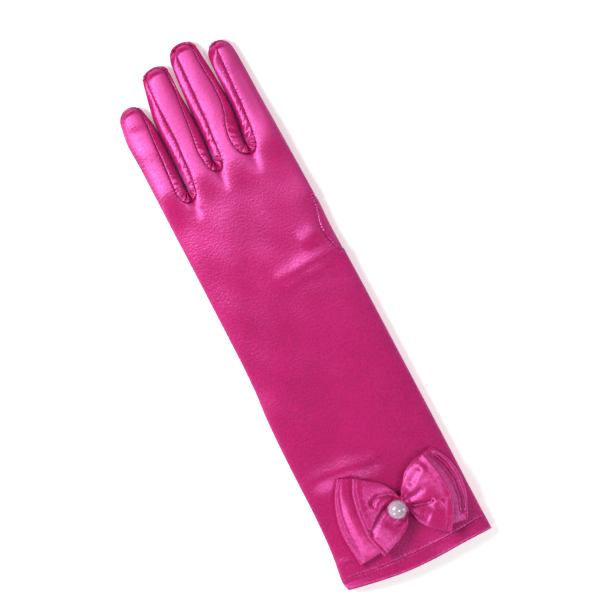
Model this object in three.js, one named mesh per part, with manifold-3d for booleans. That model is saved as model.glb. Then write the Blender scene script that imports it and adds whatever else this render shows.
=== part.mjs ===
// A long satin dress glove, lying back up with its thumb folded under the palm.
// Units are millimetres. X runs across the hand towards the thumb, Y towards the fingertips, Z up.
// The trank, the side strips between the fingers and the thumb are separate cloths, sewn edge to edge.
import * as THREE from 'three';
import { mergeVertices } from 'three/addons/utils/BufferGeometryUtils.js';
import Module from 'manifold-3d';

const wasm = await Module();
wasm.setup();

// Cloth
const CLOTH = 1.0;
const HEM_CLOTH = 1.8;
const HEM_DEPTH = 8.5;
const SEAM_GAP = 0.4;

// Heights of the sleeve and the fingers above the table
const SLEEVE = { edge: 5.0, top: 12.0, topRound: 2.8, flat: 0.72, bottomRound: 2.2 };
const FINGER = { edge: 4.7, top: 10.8, topRound: 2.3, flat: 0.45, bottomRound: 2.2 };
const TIP_FALL = 7.0;
const KNUCKLE_BLEND = 28;

// The thumb lies flat under the palm and lifts it
const THUMB_HEIGHT = 3.3;
const THUMB_CLEARANCE = 0.3;
const LIFT_RAMP = 16;
const TOP_LIFT_SHARE = 0.6;

// The outline of the sleeve and palm, seen from above
const SLEEVE_ROWS = [
  { y: -165, left: -42.4, right: 44.0 },
  { y: -153.8, left: -43.2, right: 44.0 },
  { y: -149, left: -44.1, right: 43.9 },
  { y: -142, left: -43.3, right: 43.9 },
  { y: -134, left: -42.1, right: 43.9 },
  { y: -124, left: -41.2, right: 44.0 },
  { y: -106, left: -40.4, right: 44.1 },
  { y: -86, left: -40.2, right: 44.1 },
  { y: -66, left: -39.8, right: 44.1 },
  { y: -48, left: -39.0, right: 44.1 },
  { y: -31, left: -37.5, right: 44.1 },
  { y: -12, left: -36.8, right: 44.1 },
  { y: 12, left: -36.6, right: 43.9 },
  { y: 40, left: -36.4, right: 43.7 },
  { y: 70, left: -36.3, right: 43.3 },
  { y: 100, left: -36.1, right: 42.7 },
];

// The cuff's lower edge
const CUFF_ROWS = [
  { x: -44, y: -153.6 },
  { x: -35, y: -155.4 },
  { x: -25, y: -157.3 },
  { x: -15, y: -158.9 },
  { x: -5, y: -160.0 },
  { x: 8, y: -160.5 },
  { x: 30, y: -160.1 },
  { x: 44, y: -160.3 },
];

// Each finger's silhouettes and the seams on its back. An outer side has a fold in place of a seam.
const FINGERS = {
  little: {
    tip: 142.2,
    round: 6.5,
    rows: [
      { y: 86, left: -36.3, seamRight: -24.8, right: -19.0 },
      { y: 94, left: -36.2, seamRight: -24.2, right: -18.6 },
      { y: 107, left: -36.1, seamRight: -23.1, right: -18.4 },
      { y: 115, left: -36.3, seamRight: -22.5, right: -18.3 },
      { y: 123, left: -36.5, seamRight: -21.7, right: -18.3 },
      { y: 130, left: -35.6, seamRight: -21.1, right: -18.9 },
      { y: 136, left: -34.5, seamRight: -20.9, right: -19.6 },
      { y: 142.2, left: -33.0, seamRight: -21.6, right: -20.4 },
    ],
  },
  ring: {
    tip: 155.3,
    round: 6.0,
    rows: [
      { y: 86, left: -18.3, seamLeft: -13.9, seamRight: -2.6, right: 1.6 },
      { y: 95, left: -17.7, seamLeft: -12.5, seamRight: -2.6, right: 1.7 },
      { y: 101, left: -17.6, seamLeft: -12.0, seamRight: -3.1, right: 2.1 },
      { y: 108, left: -17.5, seamLeft: -11.4, seamRight: -2.3, right: 2.6 },
      { y: 115, left: -17.3, seamLeft: -11.0, seamRight: -1.2, right: 2.9 },
      { y: 123, left: -17.0, seamLeft: -11.0, seamRight: -0.2, right: 3.0 },
      { y: 131, left: -16.5, seamLeft: -11.1, seamRight: 0.8, right: 3.0 },
      { y: 139, left: -15.2, seamLeft: -11.1, seamRight: 1.7, right: 3.1 },
      { y: 147, left: -13.3, seamLeft: -10.6, seamRight: 1.9, right: 3.4 },
      { y: 155.3, left: -11.6, seamLeft: -9.6, seamRight: 1.4, right: 2.8 },
    ],
  },
  middle: {
    tip: 160.4,
    round: 8.0,
    rows: [
      { y: 94, left: 2.3, seamLeft: 6.8, seamRight: 16.3, right: 22.5 },
      { y: 100, left: 2.9, seamLeft: 7.4, seamRight: 15.8, right: 23.0 },
      { y: 107, left: 3.5, seamLeft: 8.2, seamRight: 17.1, right: 24.3 },
      { y: 115, left: 3.9, seamLeft: 9.0, seamRight: 20.2, right: 25.2 },
      { y: 123, left: 4.1, seamLeft: 9.5, seamRight: 21.8, right: 25.3 },
      { y: 131, left: 4.3, seamLeft: 10.0, seamRight: 21.9, right: 25.2 },
      { y: 139, left: 4.8, seamLeft: 10.3, seamRight: 21.4, right: 24.8 },
      { y: 147, left: 5.6, seamLeft: 10.8, seamRight: 21.0, right: 24.1 },
      { y: 154, left: 6.5, seamLeft: 11.1, seamRight: 21.0, right: 23.6 },
      { y: 160.4, left: 7.2, seamLeft: 11.6, seamRight: 21.1, right: 23.3 },
    ],
  },
  index: {
    tip: 152.3,
    round: 7.5,
    rows: [
      { y: 94, left: 23.1, seamLeft: 28.2, right: 42.8 },
      { y: 100, left: 23.6, seamLeft: 29.4, right: 42.7 },
      { y: 107, left: 24.9, seamLeft: 30.1, right: 42.5 },
      { y: 115, left: 25.8, seamLeft: 31.0, right: 42.3 },
      { y: 123, left: 25.9, seamLeft: 31.4, right: 42.2 },
      { y: 131, left: 25.9, seamLeft: 31.9, right: 42.1 },
      { y: 139, left: 26.1, seamLeft: 32.4, right: 41.9 },
      { y: 146, left: 26.6, seamLeft: 32.9, right: 41.4 },
      { y: 152.3, left: 27.2, seamLeft: 33.2, right: 40.8 },
    ],
  },
};

// The slit between two fingers: the round foot of its seam, and the crotch where the fingers part
const GAPS = [
  { name: 'ring_little', outer: 'little', inner: 'ring', footX: -19.8, footY: 79.5, wallY: 86, crotchY: 86.5 },
  { name: 'middle_ring', outer: 'ring', inner: 'middle', footX: 2.8, footY: 87.7, wallY: 95, crotchY: 94.6 },
  { name: 'index_middle', outer: 'middle', inner: 'index', footX: 23.3, footY: 88.0, wallY: 97, crotchY: 94.4 },
];

// The thumb's seam: how far it lies in from the right silhouette on the back and on the palm side
const THUMB_SEAM_ROWS = [
  { y: -170, back: 3.0 },
  { y: 8, back: 3.0 },
  { y: 17, back: 2.6 },
  { y: 20, back: 3.7 },
  { y: 26, back: 5.3 },
  { y: 32, back: 5.8 },
  { y: 37, back: 5.0 },
  { y: 43, back: 3.0 },
  { y: 50.5, back: 2.2 },
  { y: 58, back: 2.8 },
  { y: 68, back: 3.0 },
  { y: 170, back: 3.0 },
];
const THUMB_HOLE = { low: 17, high: 50.5, palmReach: 9.6, least: 2.2 };

// The folded thumb, from the fold at the silhouette to its tip: the middle of its width and half its width
const THUMB_ROWS = [
  { s: 0.0, x: 43.4, y: 33.8, half: 16.0 },
  { s: 0.2, x: 33.5, y: 35.4, half: 14.6 },
  { s: 0.4, x: 24.0, y: 38.6, half: 12.8 },
  { s: 0.6, x: 15.0, y: 43.0, half: 11.4 },
  { s: 0.8, x: 6.5, y: 48.0, half: 10.6 },
  { s: 1.0, x: -2.0, y: 53.4, half: 9.8 },
];
const THUMB_TIP_ROUND = 0.2;
const FOLD_BULGE = 1.3;

// Broad creases of the cloth on the back: a ridge from one end to the other
const CREASES = [
  { x1: 6, y1: 17.5, x2: 40, y2: 18.5, width: 4.5, height: 0.9 },
  { x1: 0, y1: 8, x2: 34, y2: 12, width: 5.5, height: -0.3 },
  { x1: -40, y1: -92.5, x2: 2, y2: -96.5, width: 4.5, height: 1.1 },
];

// The two bows: each loop's upper edge, outer fold and lower edge, from above, knot first
const KNOT = { x: 6.6, y: -125.4 };
const LOOPS = {
  lowerLeft: {
    top: [{ x: 5, y: -119 }, { x: -2, y: -108 }, { x: -9, y: -101 }, { x: -15, y: -97.8 }, { x: -20, y: -95.5 }],
    outer: [
      { x: -20, y: -95.5 }, { x: -25.5, y: -103.5 }, { x: -29.5, y: -113 }, { x: -31.6, y: -123 },
      { x: -31.6, y: -132 }, { x: -31, y: -139 }, { x: -30.5, y: -144.5 },
    ],
    bottom: [{ x: 6, y: -132 }, { x: 0, y: -139 }, { x: -10, y: -143 }, { x: -20, y: -143.8 }, { x: -30.5, y: -144.5 }],
  },
  lowerRight: {
    top: [{ x: 8, y: -120 }, { x: 14, y: -111 }, { x: 21, y: -106.5 }, { x: 28, y: -104.8 }, { x: 35, y: -104 }],
    outer: [
      { x: 35, y: -104 }, { x: 39, y: -111 }, { x: 41.6, y: -119 }, { x: 42.1, y: -127 },
      { x: 41, y: -135 }, { x: 38, y: -142.5 }, { x: 34.5, y: -149.5 },
    ],
    bottom: [{ x: 8, y: -130 }, { x: 11, y: -139 }, { x: 17, y: -144.5 }, { x: 25, y: -147.8 }, { x: 34.5, y: -149.5 }],
  },
  upperLeft: {
    top: [{ x: 6, y: -119.5 }, { x: 5, y: -113 }, { x: 0, y: -108.3 }, { x: -6, y: -103.7 }, { x: -12, y: -99 }],
    outer: [
      { x: -12, y: -99 }, { x: -16, y: -106.5 }, { x: -18.3, y: -116 }, { x: -19.5, y: -126 },
      { x: -19.6, y: -134 }, { x: -18, y: -141 }, { x: -16.5, y: -146 },
    ],
    bottom: [{ x: 6.5, y: -131 }, { x: 4, y: -136.5 }, { x: -2, y: -140.3 }, { x: -9, y: -143.3 }, { x: -16.5, y: -146 }],
  },
  upperRight: {
    top: [{ x: 7.5, y: -120.5 }, { x: 9.5, y: -116.3 }, { x: 14, y: -111.8 }, { x: 20, y: -108 }, { x: 30, y: -105 }],
    outer: [
      { x: 30, y: -105 }, { x: 31.8, y: -112 }, { x: 33.2, y: -120 }, { x: 33.6, y: -128 },
      { x: 32.5, y: -135.5 }, { x: 28.5, y: -143.5 }, { x: 23, y: -151.3 },
    ],
    bottom: [{ x: 8, y: -129.5 }, { x: 9, y: -136.5 }, { x: 12.5, y: -142 }, { x: 17.5, y: -146.8 }, { x: 23, y: -151.3 }],
  },
};
const LOWER_BOW = { base: 0.5, knotHeight: 2.7, foldHeight: 4.6 };
const UPPER_BOW = { base: 3.6, rise: 1.9, knotHeight: 2.7, foldHeight: 5.4 };
// Pleats that fan out from the knot: across is the place between upper and lower edge, out is how far they run
const PLEATS = [
  { loop: 'upperRight', across: 0.33, out: 0.85, width: 0.09, height: -1.3 },
  { loop: 'upperRight', across: 0.6, out: 0.7, width: 0.09, height: -1.3 },
  { loop: 'upperLeft', across: 0.36, out: 0.75, width: 0.09, height: -1.3 },
  { loop: 'upperLeft', across: 0.64, out: 0.95, width: 0.1, height: -1.4 },
  { loop: 'lowerLeft', across: 0.4, out: 0.9, width: 0.1, height: -0.8 },
  { loop: 'lowerRight', across: 0.5, out: 0.9, width: 0.1, height: -0.8 },
];

// The bead sewn on the pinch
const BEAD = { x: 2.2, y: -126, radius: 5.45 };

const COLOURS = { satin: 0xd02f82, strip: 0xd63a8b, bow: 0xd8358a, bead: 0xe9dde4 };

// Small helpers

const clamp01 = (t) => Math.min(1, Math.max(0, t));
const smooth = (t) => clamp01(t) ** 2 * (3 - 2 * clamp01(t));
const mix = (a, b, t) => a + (b - a) * t;
// Height of a round section at u, from 1 in the middle to 0 at u = 1
const rounded = (u, power) => (1 - clamp01(Math.abs(u)) ** power) ** (1 / power);

// The value of a column at one place, by cubic pieces that don't overshoot (Fritsch and Carlson)
function column(rows, key, at = 'y') {
  const xs = rows.map((row) => row[at]);
  const ys = rows.map((row) => row[key]);
  const slopes = xs.slice(1).map((x, i) => (ys[i + 1] - ys[i]) / (x - xs[i]));
  const tangents = xs.map((_, i) => {
    if (i === 0) return slopes[0];
    if (i === xs.length - 1) return slopes[i - 1];
    const [a, b] = [slopes[i - 1], slopes[i]];
    return a * b <= 0 ? 0 : (2 * a * b) / (a + b);
  });
  return (x) => {
    if (x <= xs[0]) return ys[0];
    if (x >= xs.at(-1)) return ys.at(-1);
    const i = xs.findIndex((end) => end > x) - 1;
    const h = xs[i + 1] - xs[i];
    const t = (x - xs[i]) / h;
    return (
      (1 + 2 * t) * (1 - t) ** 2 * ys[i] + t * (1 - t) ** 2 * h * tangents[i] +
      t * t * (3 - 2 * t) * ys[i + 1] + t * t * (t - 1) * h * tangents[i + 1]
    );
  };
}

const sleeveLeft = column(SLEEVE_ROWS, 'left');
const sleeveRight = column(SLEEVE_ROWS, 'right');
const cuffLine = column(CUFF_ROWS, 'y', 'x');
const thumbSeamBack = column(THUMB_SEAM_ROWS, 'back');

for (const finger of Object.values(FINGERS)) {
  finger.left = column(finger.rows, 'left');
  finger.right = column(finger.rows, 'right');
  finger.seamLeft = finger.rows[0].seamLeft === undefined ? finger.left : column(finger.rows, 'seamLeft');
  finger.seamRight = finger.rows[0].seamRight === undefined ? finger.right : column(finger.rows, 'seamRight');
}

// Where x lies across a finger, from -1 at its left silhouette to 1 at its right
function acrossFinger(finger, x, y) {
  const [left, right] = [finger.left(y), finger.right(y)];
  return (2 * x - left - right) / (right - left);
}

// How far up the round fingertip reaches at one place across the finger
const fingerEnd = (finger, across) => finger.tip - finger.round * (1 - rounded(across, 2.2));

// Heights of the glove

const thumbX = column(THUMB_ROWS, 'x', 's');
const thumbY = column(THUMB_ROWS, 'y', 's');
const thumbHalf = column(THUMB_ROWS, 'half', 's');

// A point of the folded thumb in plan: s runs from the fold to the tip, r across from -1 to 1
function thumbPlan(s, r) {
  const step = 0.01;
  const along = new THREE.Vector2(thumbX(s + step) - thumbX(s - step), thumbY(s + step) - thumbY(s - step));
  along.normalize();
  const half = thumbHalf(s);
  return new THREE.Vector2(thumbX(s) - r * half * -along.y, thumbY(s) - r * half * along.x);
}

const THUMB_DISCS = Array.from({ length: 11 }, (_, i) => i / 11).map((s) => [thumbX(s), thumbY(s), thumbHalf(s)]);

// How much the thumb under the palm lifts the cloth
function lift(x, y) {
  const away = Math.min(...THUMB_DISCS.map(([cx, cy, half]) => Math.hypot(x - cx, y - cy) - half));
  return (THUMB_HEIGHT + THUMB_CLEARANCE) * smooth(1 - (away - 1.5) / LIFT_RAMP);
}

function creases(x, y) {
  return CREASES.reduce((sum, crease) => {
    const [dx, dy] = [crease.x2 - crease.x1, crease.y2 - crease.y1];
    const t = ((x - crease.x1) * dx + (y - crease.y1) * dy) / (dx * dx + dy * dy);
    const off = Math.hypot(x - crease.x1 - clamp01(t) * dx, y - crease.y1 - clamp01(t) * dy);
    return sum + crease.height * Math.exp(-((off / crease.width) ** 2));
  }, 0);
}

// The foot of the slits across the hand, which the knuckles follow
const footLine = column([{ x: -20, y: 79.5 }, { x: 2.8, y: 87.7 }, { x: 23.3, y: 88 }], 'y', 'x');

// Edge, top and bottom heights where the cloth is, finger being the one that x belongs to or is nearest
function heights(x, y, finger) {
  const raised = lift(x, y);
  const sleeveAcross = (2 * x - sleeveLeft(y) - sleeveRight(y)) / (sleeveRight(y) - sleeveLeft(y));
  const edge = SLEEVE.edge + 0.45 * raised;
  const flatPart = (across, flat) => clamp01((Math.abs(across) - flat) / (1 - flat));
  const sleeveTop = edge + (SLEEVE.top + TOP_LIFT_SHARE * raised - edge) * rounded(sleeveAcross, SLEEVE.topRound);
  const sleeveBottom = edge - (edge - raised) * rounded(flatPart(sleeveAcross, SLEEVE.flat), SLEEVE.bottomRound);
  const sleeve = { edge, top: sleeveTop + creases(x, y) * rounded(sleeveAcross, 2), bottom: sleeveBottom };
  const share = smooth((y - footLine(x)) / KNUCKLE_BLEND + 0.5);
  if (!finger || share === 0) return sleeve;
  const across = acrossFinger(finger, x, y);
  const inside = Math.min(Math.abs(across), 1);
  const end = fingerEnd(finger, inside);
  const fall = rounded((y - end + TIP_FALL) / TIP_FALL, 2.2);
  const tipShare = y > end - TIP_FALL ? fall : 1;
  const fingerEdge = FINGER.edge + 0.45 * raised;
  const fingerTop = fingerEdge + (FINGER.top - FINGER.edge) * rounded(inside, FINGER.topRound) * tipShare;
  const fingerRound = rounded(flatPart(inside, FINGER.flat), FINGER.bottomRound) * tipShare;
  return {
    edge: mix(sleeve.edge, fingerEdge, share),
    top: mix(sleeve.top, fingerTop, share),
    bottom: mix(sleeve.bottom, fingerEdge - (fingerEdge - raised) * fingerRound, share),
  };
}

// Sheets of cloth

const HOLE_STEPS = 6;
const FOOT_STEPS = 6;
const even = (count) => Array.from({ length: count + 1 }, (_, i) => i / count);

// Triangles of a grid of points, given row by row; facing turns them over
function gridTriangles(rows, facing, out, keep = () => true) {
  for (let j = 0; j < rows.length - 1; j++) {
    for (let i = 0; i < rows[j].length - 1; i++) {
      if (!keep(i, j)) continue;
      const [a, b, c, d] = [rows[j][i], rows[j][i + 1], rows[j + 1][i + 1], rows[j + 1][i]];
      const halves = a.distanceTo(c) < b.distanceTo(d) ? [[a, b, c], [a, c, d]] : [[a, b, d], [b, c, d]];
      for (const [p, q, r] of halves) out.push(...(facing > 0 ? [p, q, r] : [p, r, q]));
    }
  }
}

// One closed wall from an open sheet: a second layer lies inwards, and the free edges are closed.
// inward gives a point's way to the second layer, from the point and its outward normal.
function thicken(triangles, inward) {
  const open = new THREE.BufferGeometry().setFromPoints(triangles);
  const merged = mergeVertices(open, 1e-3);
  const index = Array.from(merged.index.array);
  const kept = [];
  for (let i = 0; i < index.length; i += 3) {
    const [a, b, c] = index.slice(i, i + 3);
    if (a !== b && b !== c && a !== c) kept.push([a, b, c]);
  }
  merged.setIndex(kept.flat());
  merged.computeVertexNormals();
  const count = merged.attributes.position.count;
  const at = (attribute, i) => new THREE.Vector3().fromBufferAttribute(attribute, i);
  const uses = new Map();
  for (const [a, b, c] of kept) {
    for (const [p, q] of [[a, b], [b, c], [c, a]]) uses.set(p * count + q, [p, q]);
  }
  const free = [...uses.values()].filter(([p, q]) => !uses.has(q * count + p));
  const onEdge = new Set(free.flat());
  const points = [];
  const inner = [];
  for (let i = 0; i < count; i++) {
    const point = at(merged.attributes.position, i);
    points.push(point);
    inner.push(point.clone().add(inward(point, at(merged.attributes.normal, i), onEdge.has(i))));
  }
  const faces = [
    ...kept,
    ...kept.map(([a, b, c]) => [a + count, c + count, b + count]),
    ...free.flatMap(([p, q]) => [[q, p, p + count], [q, p + count, q + count]]),
  ];
  const solid = new THREE.BufferGeometry().setFromPoints([...points, ...inner]);
  solid.setIndex(faces.flat());
  return solid;
}

// Into the wall at the cloth's own thickness; on a seam the wall is cut square to the seam
function inwardCloth(thickness, seamDirection) {
  return (point, normal, onEdge) => {
    const way = normal.clone();
    const across = onEdge && seamDirection ? seamDirection(point) : null;
    if (across) way.addScaledVector(across, -way.dot(across)).normalize();
    const depth = typeof thickness === 'function' ? thickness(point) : thickness;
    return way.multiplyScalar(-depth);
  };
}

const ACROSS = new THREE.Vector3(1, 0, 0);
const ALONG = new THREE.Vector3(0, 1, 0);
const point3 = (x, y, z) => new THREE.Vector3(x, y, z);

// The trank

const FOOT_LEVEL = 88;
const CUFF_LEVEL = -160;
const steps = (from, to, count) => Array.from({ length: count }, (_, i) => mix(from, to, i / count));
const HEM_TOP = CUFF_LEVEL + HEM_DEPTH;
const LIFT_START = -13;
const holeRows = even(HOLE_STEPS).map((t) => mix(THUMB_HOLE.low, THUMB_HOLE.high, (1 - Math.cos(t * Math.PI)) / 2));
const SLEEVE_LEVELS = [
  CUFF_LEVEL,
  ...steps(HEM_TOP, HEM_TOP + 1, 1),
  ...steps(HEM_TOP + 1, LIFT_START, 7),
  ...steps(LIFT_START, THUMB_HOLE.low, 2),
  ...holeRows.slice(0, -1),
  ...steps(THUMB_HOLE.high, FOOT_LEVEL, 4),
  FOOT_LEVEL,
];
const FINGER_STEPS = 7;
const fingerStep = (t) => 1 - (1 - t) ** 1.7;

// Lanes across the hand, little finger first: a strip runs out to a fingertip, a gap ends at a slit's foot
function slitFoot(gap, share) {
  const [left, right] = [FINGERS[gap.outer].seamRight(gap.wallY), FINGERS[gap.inner].seamLeft(gap.wallY)];
  const x = mix(left, right, share);
  const side = x < gap.footX ? gap.footX - left : right - gap.footX;
  return { x, y: gap.wallY - (gap.wallY - gap.footY) * Math.sqrt(Math.max(0, 1 - ((x - gap.footX) / side) ** 2)) };
}

const turned = (t) => (1 - Math.cos(t * Math.PI)) / 2;
const LANES = [
  { finger: 'little', before: null, after: GAPS[0], shares: even(4).map((t) => 1 - Math.cos((t * Math.PI) / 2)) },
  { gap: GAPS[0], shares: even(FOOT_STEPS).map(turned) },
  { finger: 'ring', before: GAPS[0], after: GAPS[1], shares: even(3) },
  { gap: GAPS[1], shares: even(FOOT_STEPS).map(turned) },
  { finger: 'middle', before: GAPS[1], after: GAPS[2], shares: even(3) },
  { gap: GAPS[2], shares: even(FOOT_STEPS).map(turned) },
  { finger: 'index', before: GAPS[2], after: null, shares: even(3), inner: true },
  { finger: 'index', before: GAPS[2], after: null, shares: [0, 0.55, 1], outer: true },
];

// How far in from the right silhouette the thumb's seam lies on the back or on the palm side
function thumbSeam(y, back) {
  if (back) return thumbSeamBack(y);
  const middle = (THUMB_HOLE.low + THUMB_HOLE.high) / 2;
  const reach = rounded((y - middle) / ((THUMB_HOLE.high - THUMB_HOLE.low) / 2), 2);
  const wide = Math.abs(y - middle) <= (THUMB_HOLE.high - THUMB_HOLE.low) / 2;
  return wide ? THUMB_HOLE.least + THUMB_HOLE.palmReach * reach : Math.min(3, THUMB_HOLE.least + 0.15 * Math.abs(y - middle));
}

// The x of a lane's side at y, by its place at the slit's wall below that level
function laneSide(lane, side, y, back) {
  const gap = side === 'left' ? lane.before : lane.after;
  if (lane.finger === 'index' && (side === 'right' ? lane.inner : lane.outer)) {
    return rightSilhouette(y) - thumbSeam(y, back);
  }
  if (!gap) return side === 'left' ? leftSilhouette(y) : rightSilhouette(y);
  const seam = FINGERS[lane.finger][side === 'left' ? 'seamLeft' : 'seamRight'];
  return y >= gap.wallY ? seam(y) : atWall(seam(gap.wallY), gap.wallY, y);
}

// A place at the level of a wall, carried down the palm and sleeve at the same share of their width
function atWall(x, wallY, y) {
  const share = (x - leftSilhouette(wallY)) / (rightSilhouette(wallY) - leftSilhouette(wallY));
  return mix(leftSilhouette(y), rightSilhouette(y), share);
}

function leftSilhouette(y) {
  return y < FOOT_LEVEL ? sleeveLeft(y) : mix(sleeveLeft(y), FINGERS.little.left(y), smooth((y - FOOT_LEVEL) / 12));
}

function rightSilhouette(y) {
  return y < FOOT_LEVEL ? sleeveRight(y) : mix(sleeveRight(y), FINGERS.index.right(y), smooth((y - FOOT_LEVEL) / 12));
}

// The level of a sleeve row at one column: it follows the cuff below and the slits' feet above
function rowLevel(level, x, footY) {
  const cuffShift = (cuffLine(x) - CUFF_LEVEL) * (1 - smooth((level - CUFF_LEVEL) / 40));
  const hemShift = level === CUFF_LEVEL ? cuffLine(x) - CUFF_LEVEL : cuffShift;
  const footShift = (footY - FOOT_LEVEL) * smooth((level - THUMB_HOLE.high - 4) / (FOOT_LEVEL - THUMB_HOLE.high - 4));
  return level + hemShift + footShift;
}

// A lane's rows of points on one side of the glove
function laneRows(lane, back) {
  const lift3 = (x, y, finger) => {
    const level = heights(x, y, finger);
    return point3(x, y, back ? level.top : level.bottom);
  };
  const rows = SLEEVE_LEVELS.map(() => []);
  const finger = lane.finger ? FINGERS[lane.finger] : null;
  const fingerRows = finger ? Array.from({ length: FINGER_STEPS }, () => []) : [];
  for (const share of lane.shares) {
    const foot = lane.gap ? slitFoot(lane.gap, share) : null;
    const wallLeft = (lane.before ?? lane.after ?? GAPS[0]).wallY;
    const wallRight = (lane.after ?? lane.before ?? GAPS[2]).wallY;
    const footY = foot ? foot.y : mix(wallLeft, wallRight, share);
    const xAt = (y) => {
      if (foot) return atWall(foot.x, lane.gap.wallY, y);
      return mix(laneSide(lane, 'left', y, back), laneSide(lane, 'right', y, back), share);
    };
    const nearest = finger ?? FINGERS[share < 0.5 ? lane.gap.outer : lane.gap.inner];
    const atFold = (lane.finger === 'little' && share === 0) || (lane.outer && share === 1);
    SLEEVE_LEVELS.forEach((level, j) => {
      const y = rowLevel(level, xAt(CUFF_LEVEL), footY);
      const last = foot && j === SLEEVE_LEVELS.length - 1;
      const point = last ? lift3(foot.x, foot.y, nearest) : lift3(xAt(y), y, nearest);
      if (atFold) point.z = heights(point.x, point.y, nearest).edge;
      rows[j].push(point);
    });
    if (!finger) continue;
    const start = rowLevel(FOOT_LEVEL, xAt(CUFF_LEVEL), footY);
    const across = acrossFinger(finger, xAt(finger.tip), finger.tip);
    const end = fingerEnd(finger, across);
    fingerRows.forEach((row, m) => {
      const y = mix(start, end, fingerStep((m + 1) / FINGER_STEPS));
      const x = xAt(y);
      const tipped = m === FINGER_STEPS - 1 || atFold;
      const point = lift3(x, y, finger);
      if (tipped) point.z = heights(x, y, finger).edge;
      row.push(point);
    });
  }
  return [...rows, ...fingerRows];
}

function trankSolid() {
  const triangles = [];
  const [lowRow, highRow] = [THUMB_HOLE.low, THUMB_HOLE.high].map((y) => SLEEVE_LEVELS.findIndex((v) => Math.abs(v - y) < 1e-9));
  for (const back of [true, false]) {
    for (const lane of LANES) {
      const keep = lane.outer ? (_, j) => j < lowRow || j >= highRow : undefined;
      gridTriangles(laneRows(lane, back), back ? 1 : -1, triangles, keep);
    }
  }
  const thickness = (point) => (point.y < cuffLine(point.x) + HEM_DEPTH - 0.2 ? HEM_CLOTH : CLOTH);
  const square = (point) => {
    const holeEnd = point.x > 25 && [THUMB_HOLE.low, THUMB_HOLE.high].some((y) => Math.abs(point.y - y) < 0.1);
    return point.y < -100 || holeEnd ? ALONG : ACROSS;
  };
  return thicken(triangles, inwardCloth(thickness, square));
}

// The strips between the fingers

const STRIP_PROFILE = [0, 0.4, 0.72, 1];
// A section narrower than this is the strip's pointed end
const CLOSED_WIDTH = 0.3;

// Points of a strip's seam and of its deep line on one finger, from the tip down to the slit's wall
function stripSide(finger, gap, seamName, edgeName) {
  const seam = FINGERS[finger][seamName];
  const edge = FINGERS[finger][edgeName];
  const { tip } = FINGERS[finger];
  const seamAcross = acrossFinger(FINGERS[finger], seam(tip), tip);
  const seamEnd = fingerEnd(FINGERS[finger], seamAcross);
  const edgeEnd = FINGERS[finger].tip - FINGERS[finger].round;
  const sign = edgeName === 'left' ? -1 : 1;
  return steps(0, 1, FINGER_STEPS).map((f) => {
    const seamY = mix(gap.wallY, seamEnd, fingerStep(1 - f));
    const roundShare = clamp01(f / 0.16);
    const across = mix(seamAcross, sign, Math.sin((roundShare * Math.PI) / 2) ** 0.8);
    const deepY = f < 0.16 ? fingerEnd(FINGERS[finger], across) : mix(edgeEnd, gap.crotchY, (f - 0.16) / 0.84);
    const middle = (FINGERS[finger].left(deepY) + FINGERS[finger].right(deepY)) / 2;
    const half = (FINGERS[finger].right(deepY) - FINGERS[finger].left(deepY)) / 2;
    const deepX = f < 0.16 ? middle + half * across : edge(deepY);
    return { seam: { x: seam(seamY), y: seamY }, deep: { x: deepX, y: deepY }, finger: FINGERS[finger] };
  });
}

function stripStations(gap) {
  const down = stripSide(gap.outer, gap, 'seamRight', 'right');
  const up = stripSide(gap.inner, gap, 'seamLeft', 'left').reverse();
  const [deepLeft, deepRight] = [FINGERS[gap.outer].right(gap.crotchY), FINGERS[gap.inner].left(gap.crotchY)];
  const round = even(FOOT_STEPS).map((t) => {
    const foot = slitFoot(gap, turned(t));
    const deepHalf = (deepRight - deepLeft) / 2;
    const deepX = (deepLeft + deepRight) / 2 - deepHalf * Math.cos(t * Math.PI);
    const deepY = gap.crotchY - deepHalf * Math.sin(t * Math.PI);
    return { seam: foot, deep: { x: deepX, y: deepY }, finger: FINGERS[t < 0.5 ? gap.outer : gap.inner] };
  });
  const stations = [...down, ...round, ...up];
  return stations.map((station, i) => {
    const [before, after] = [stations[Math.max(i - 1, 0)].seam, stations[Math.min(i + 1, stations.length - 1)].seam];
    return { ...station, away: point3(before.y - after.y, after.x - before.x, 0).normalize() };
  });
}

// The strip's cross-section at one station: from the seam on the back, round the side, to the seam below
function stripSection({ seam, deep, finger, away }) {
  const wide = Math.hypot(deep.x - seam.x, deep.y - seam.y);
  const start = { x: seam.x + SEAM_GAP * away.x, y: seam.y + SEAM_GAP * away.y };
  const closed = 1 - clamp01(wide / 2);
  const end = { x: deep.x + SEAM_GAP * closed * away.x, y: deep.y + SEAM_GAP * closed * away.y };
  const level = heights(seam.x, seam.y, finger);
  const deepLevel = heights(deep.x, deep.y, finger).edge;
  if (wide < CLOSED_WIDTH) return Array(2 * STRIP_PROFILE.length - 1).fill(point3(start.x, start.y, deepLevel));
  const half = (from) =>
    STRIP_PROFILE.map((q) => {
      const turn = (Math.PI / 2) * mix(0.3, 1, q);
      const flat = (Math.sin(turn) - Math.sin(0.3 * (Math.PI / 2))) / (1 - Math.sin(0.3 * (Math.PI / 2)));
      const drop = Math.cos(turn) / Math.cos(0.3 * (Math.PI / 2));
      return point3(mix(start.x, end.x, flat), mix(start.y, end.y, flat), mix(deepLevel, from, drop));
    });
  return [...half(level.top), ...half(level.bottom).reverse().slice(1)];
}

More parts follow.
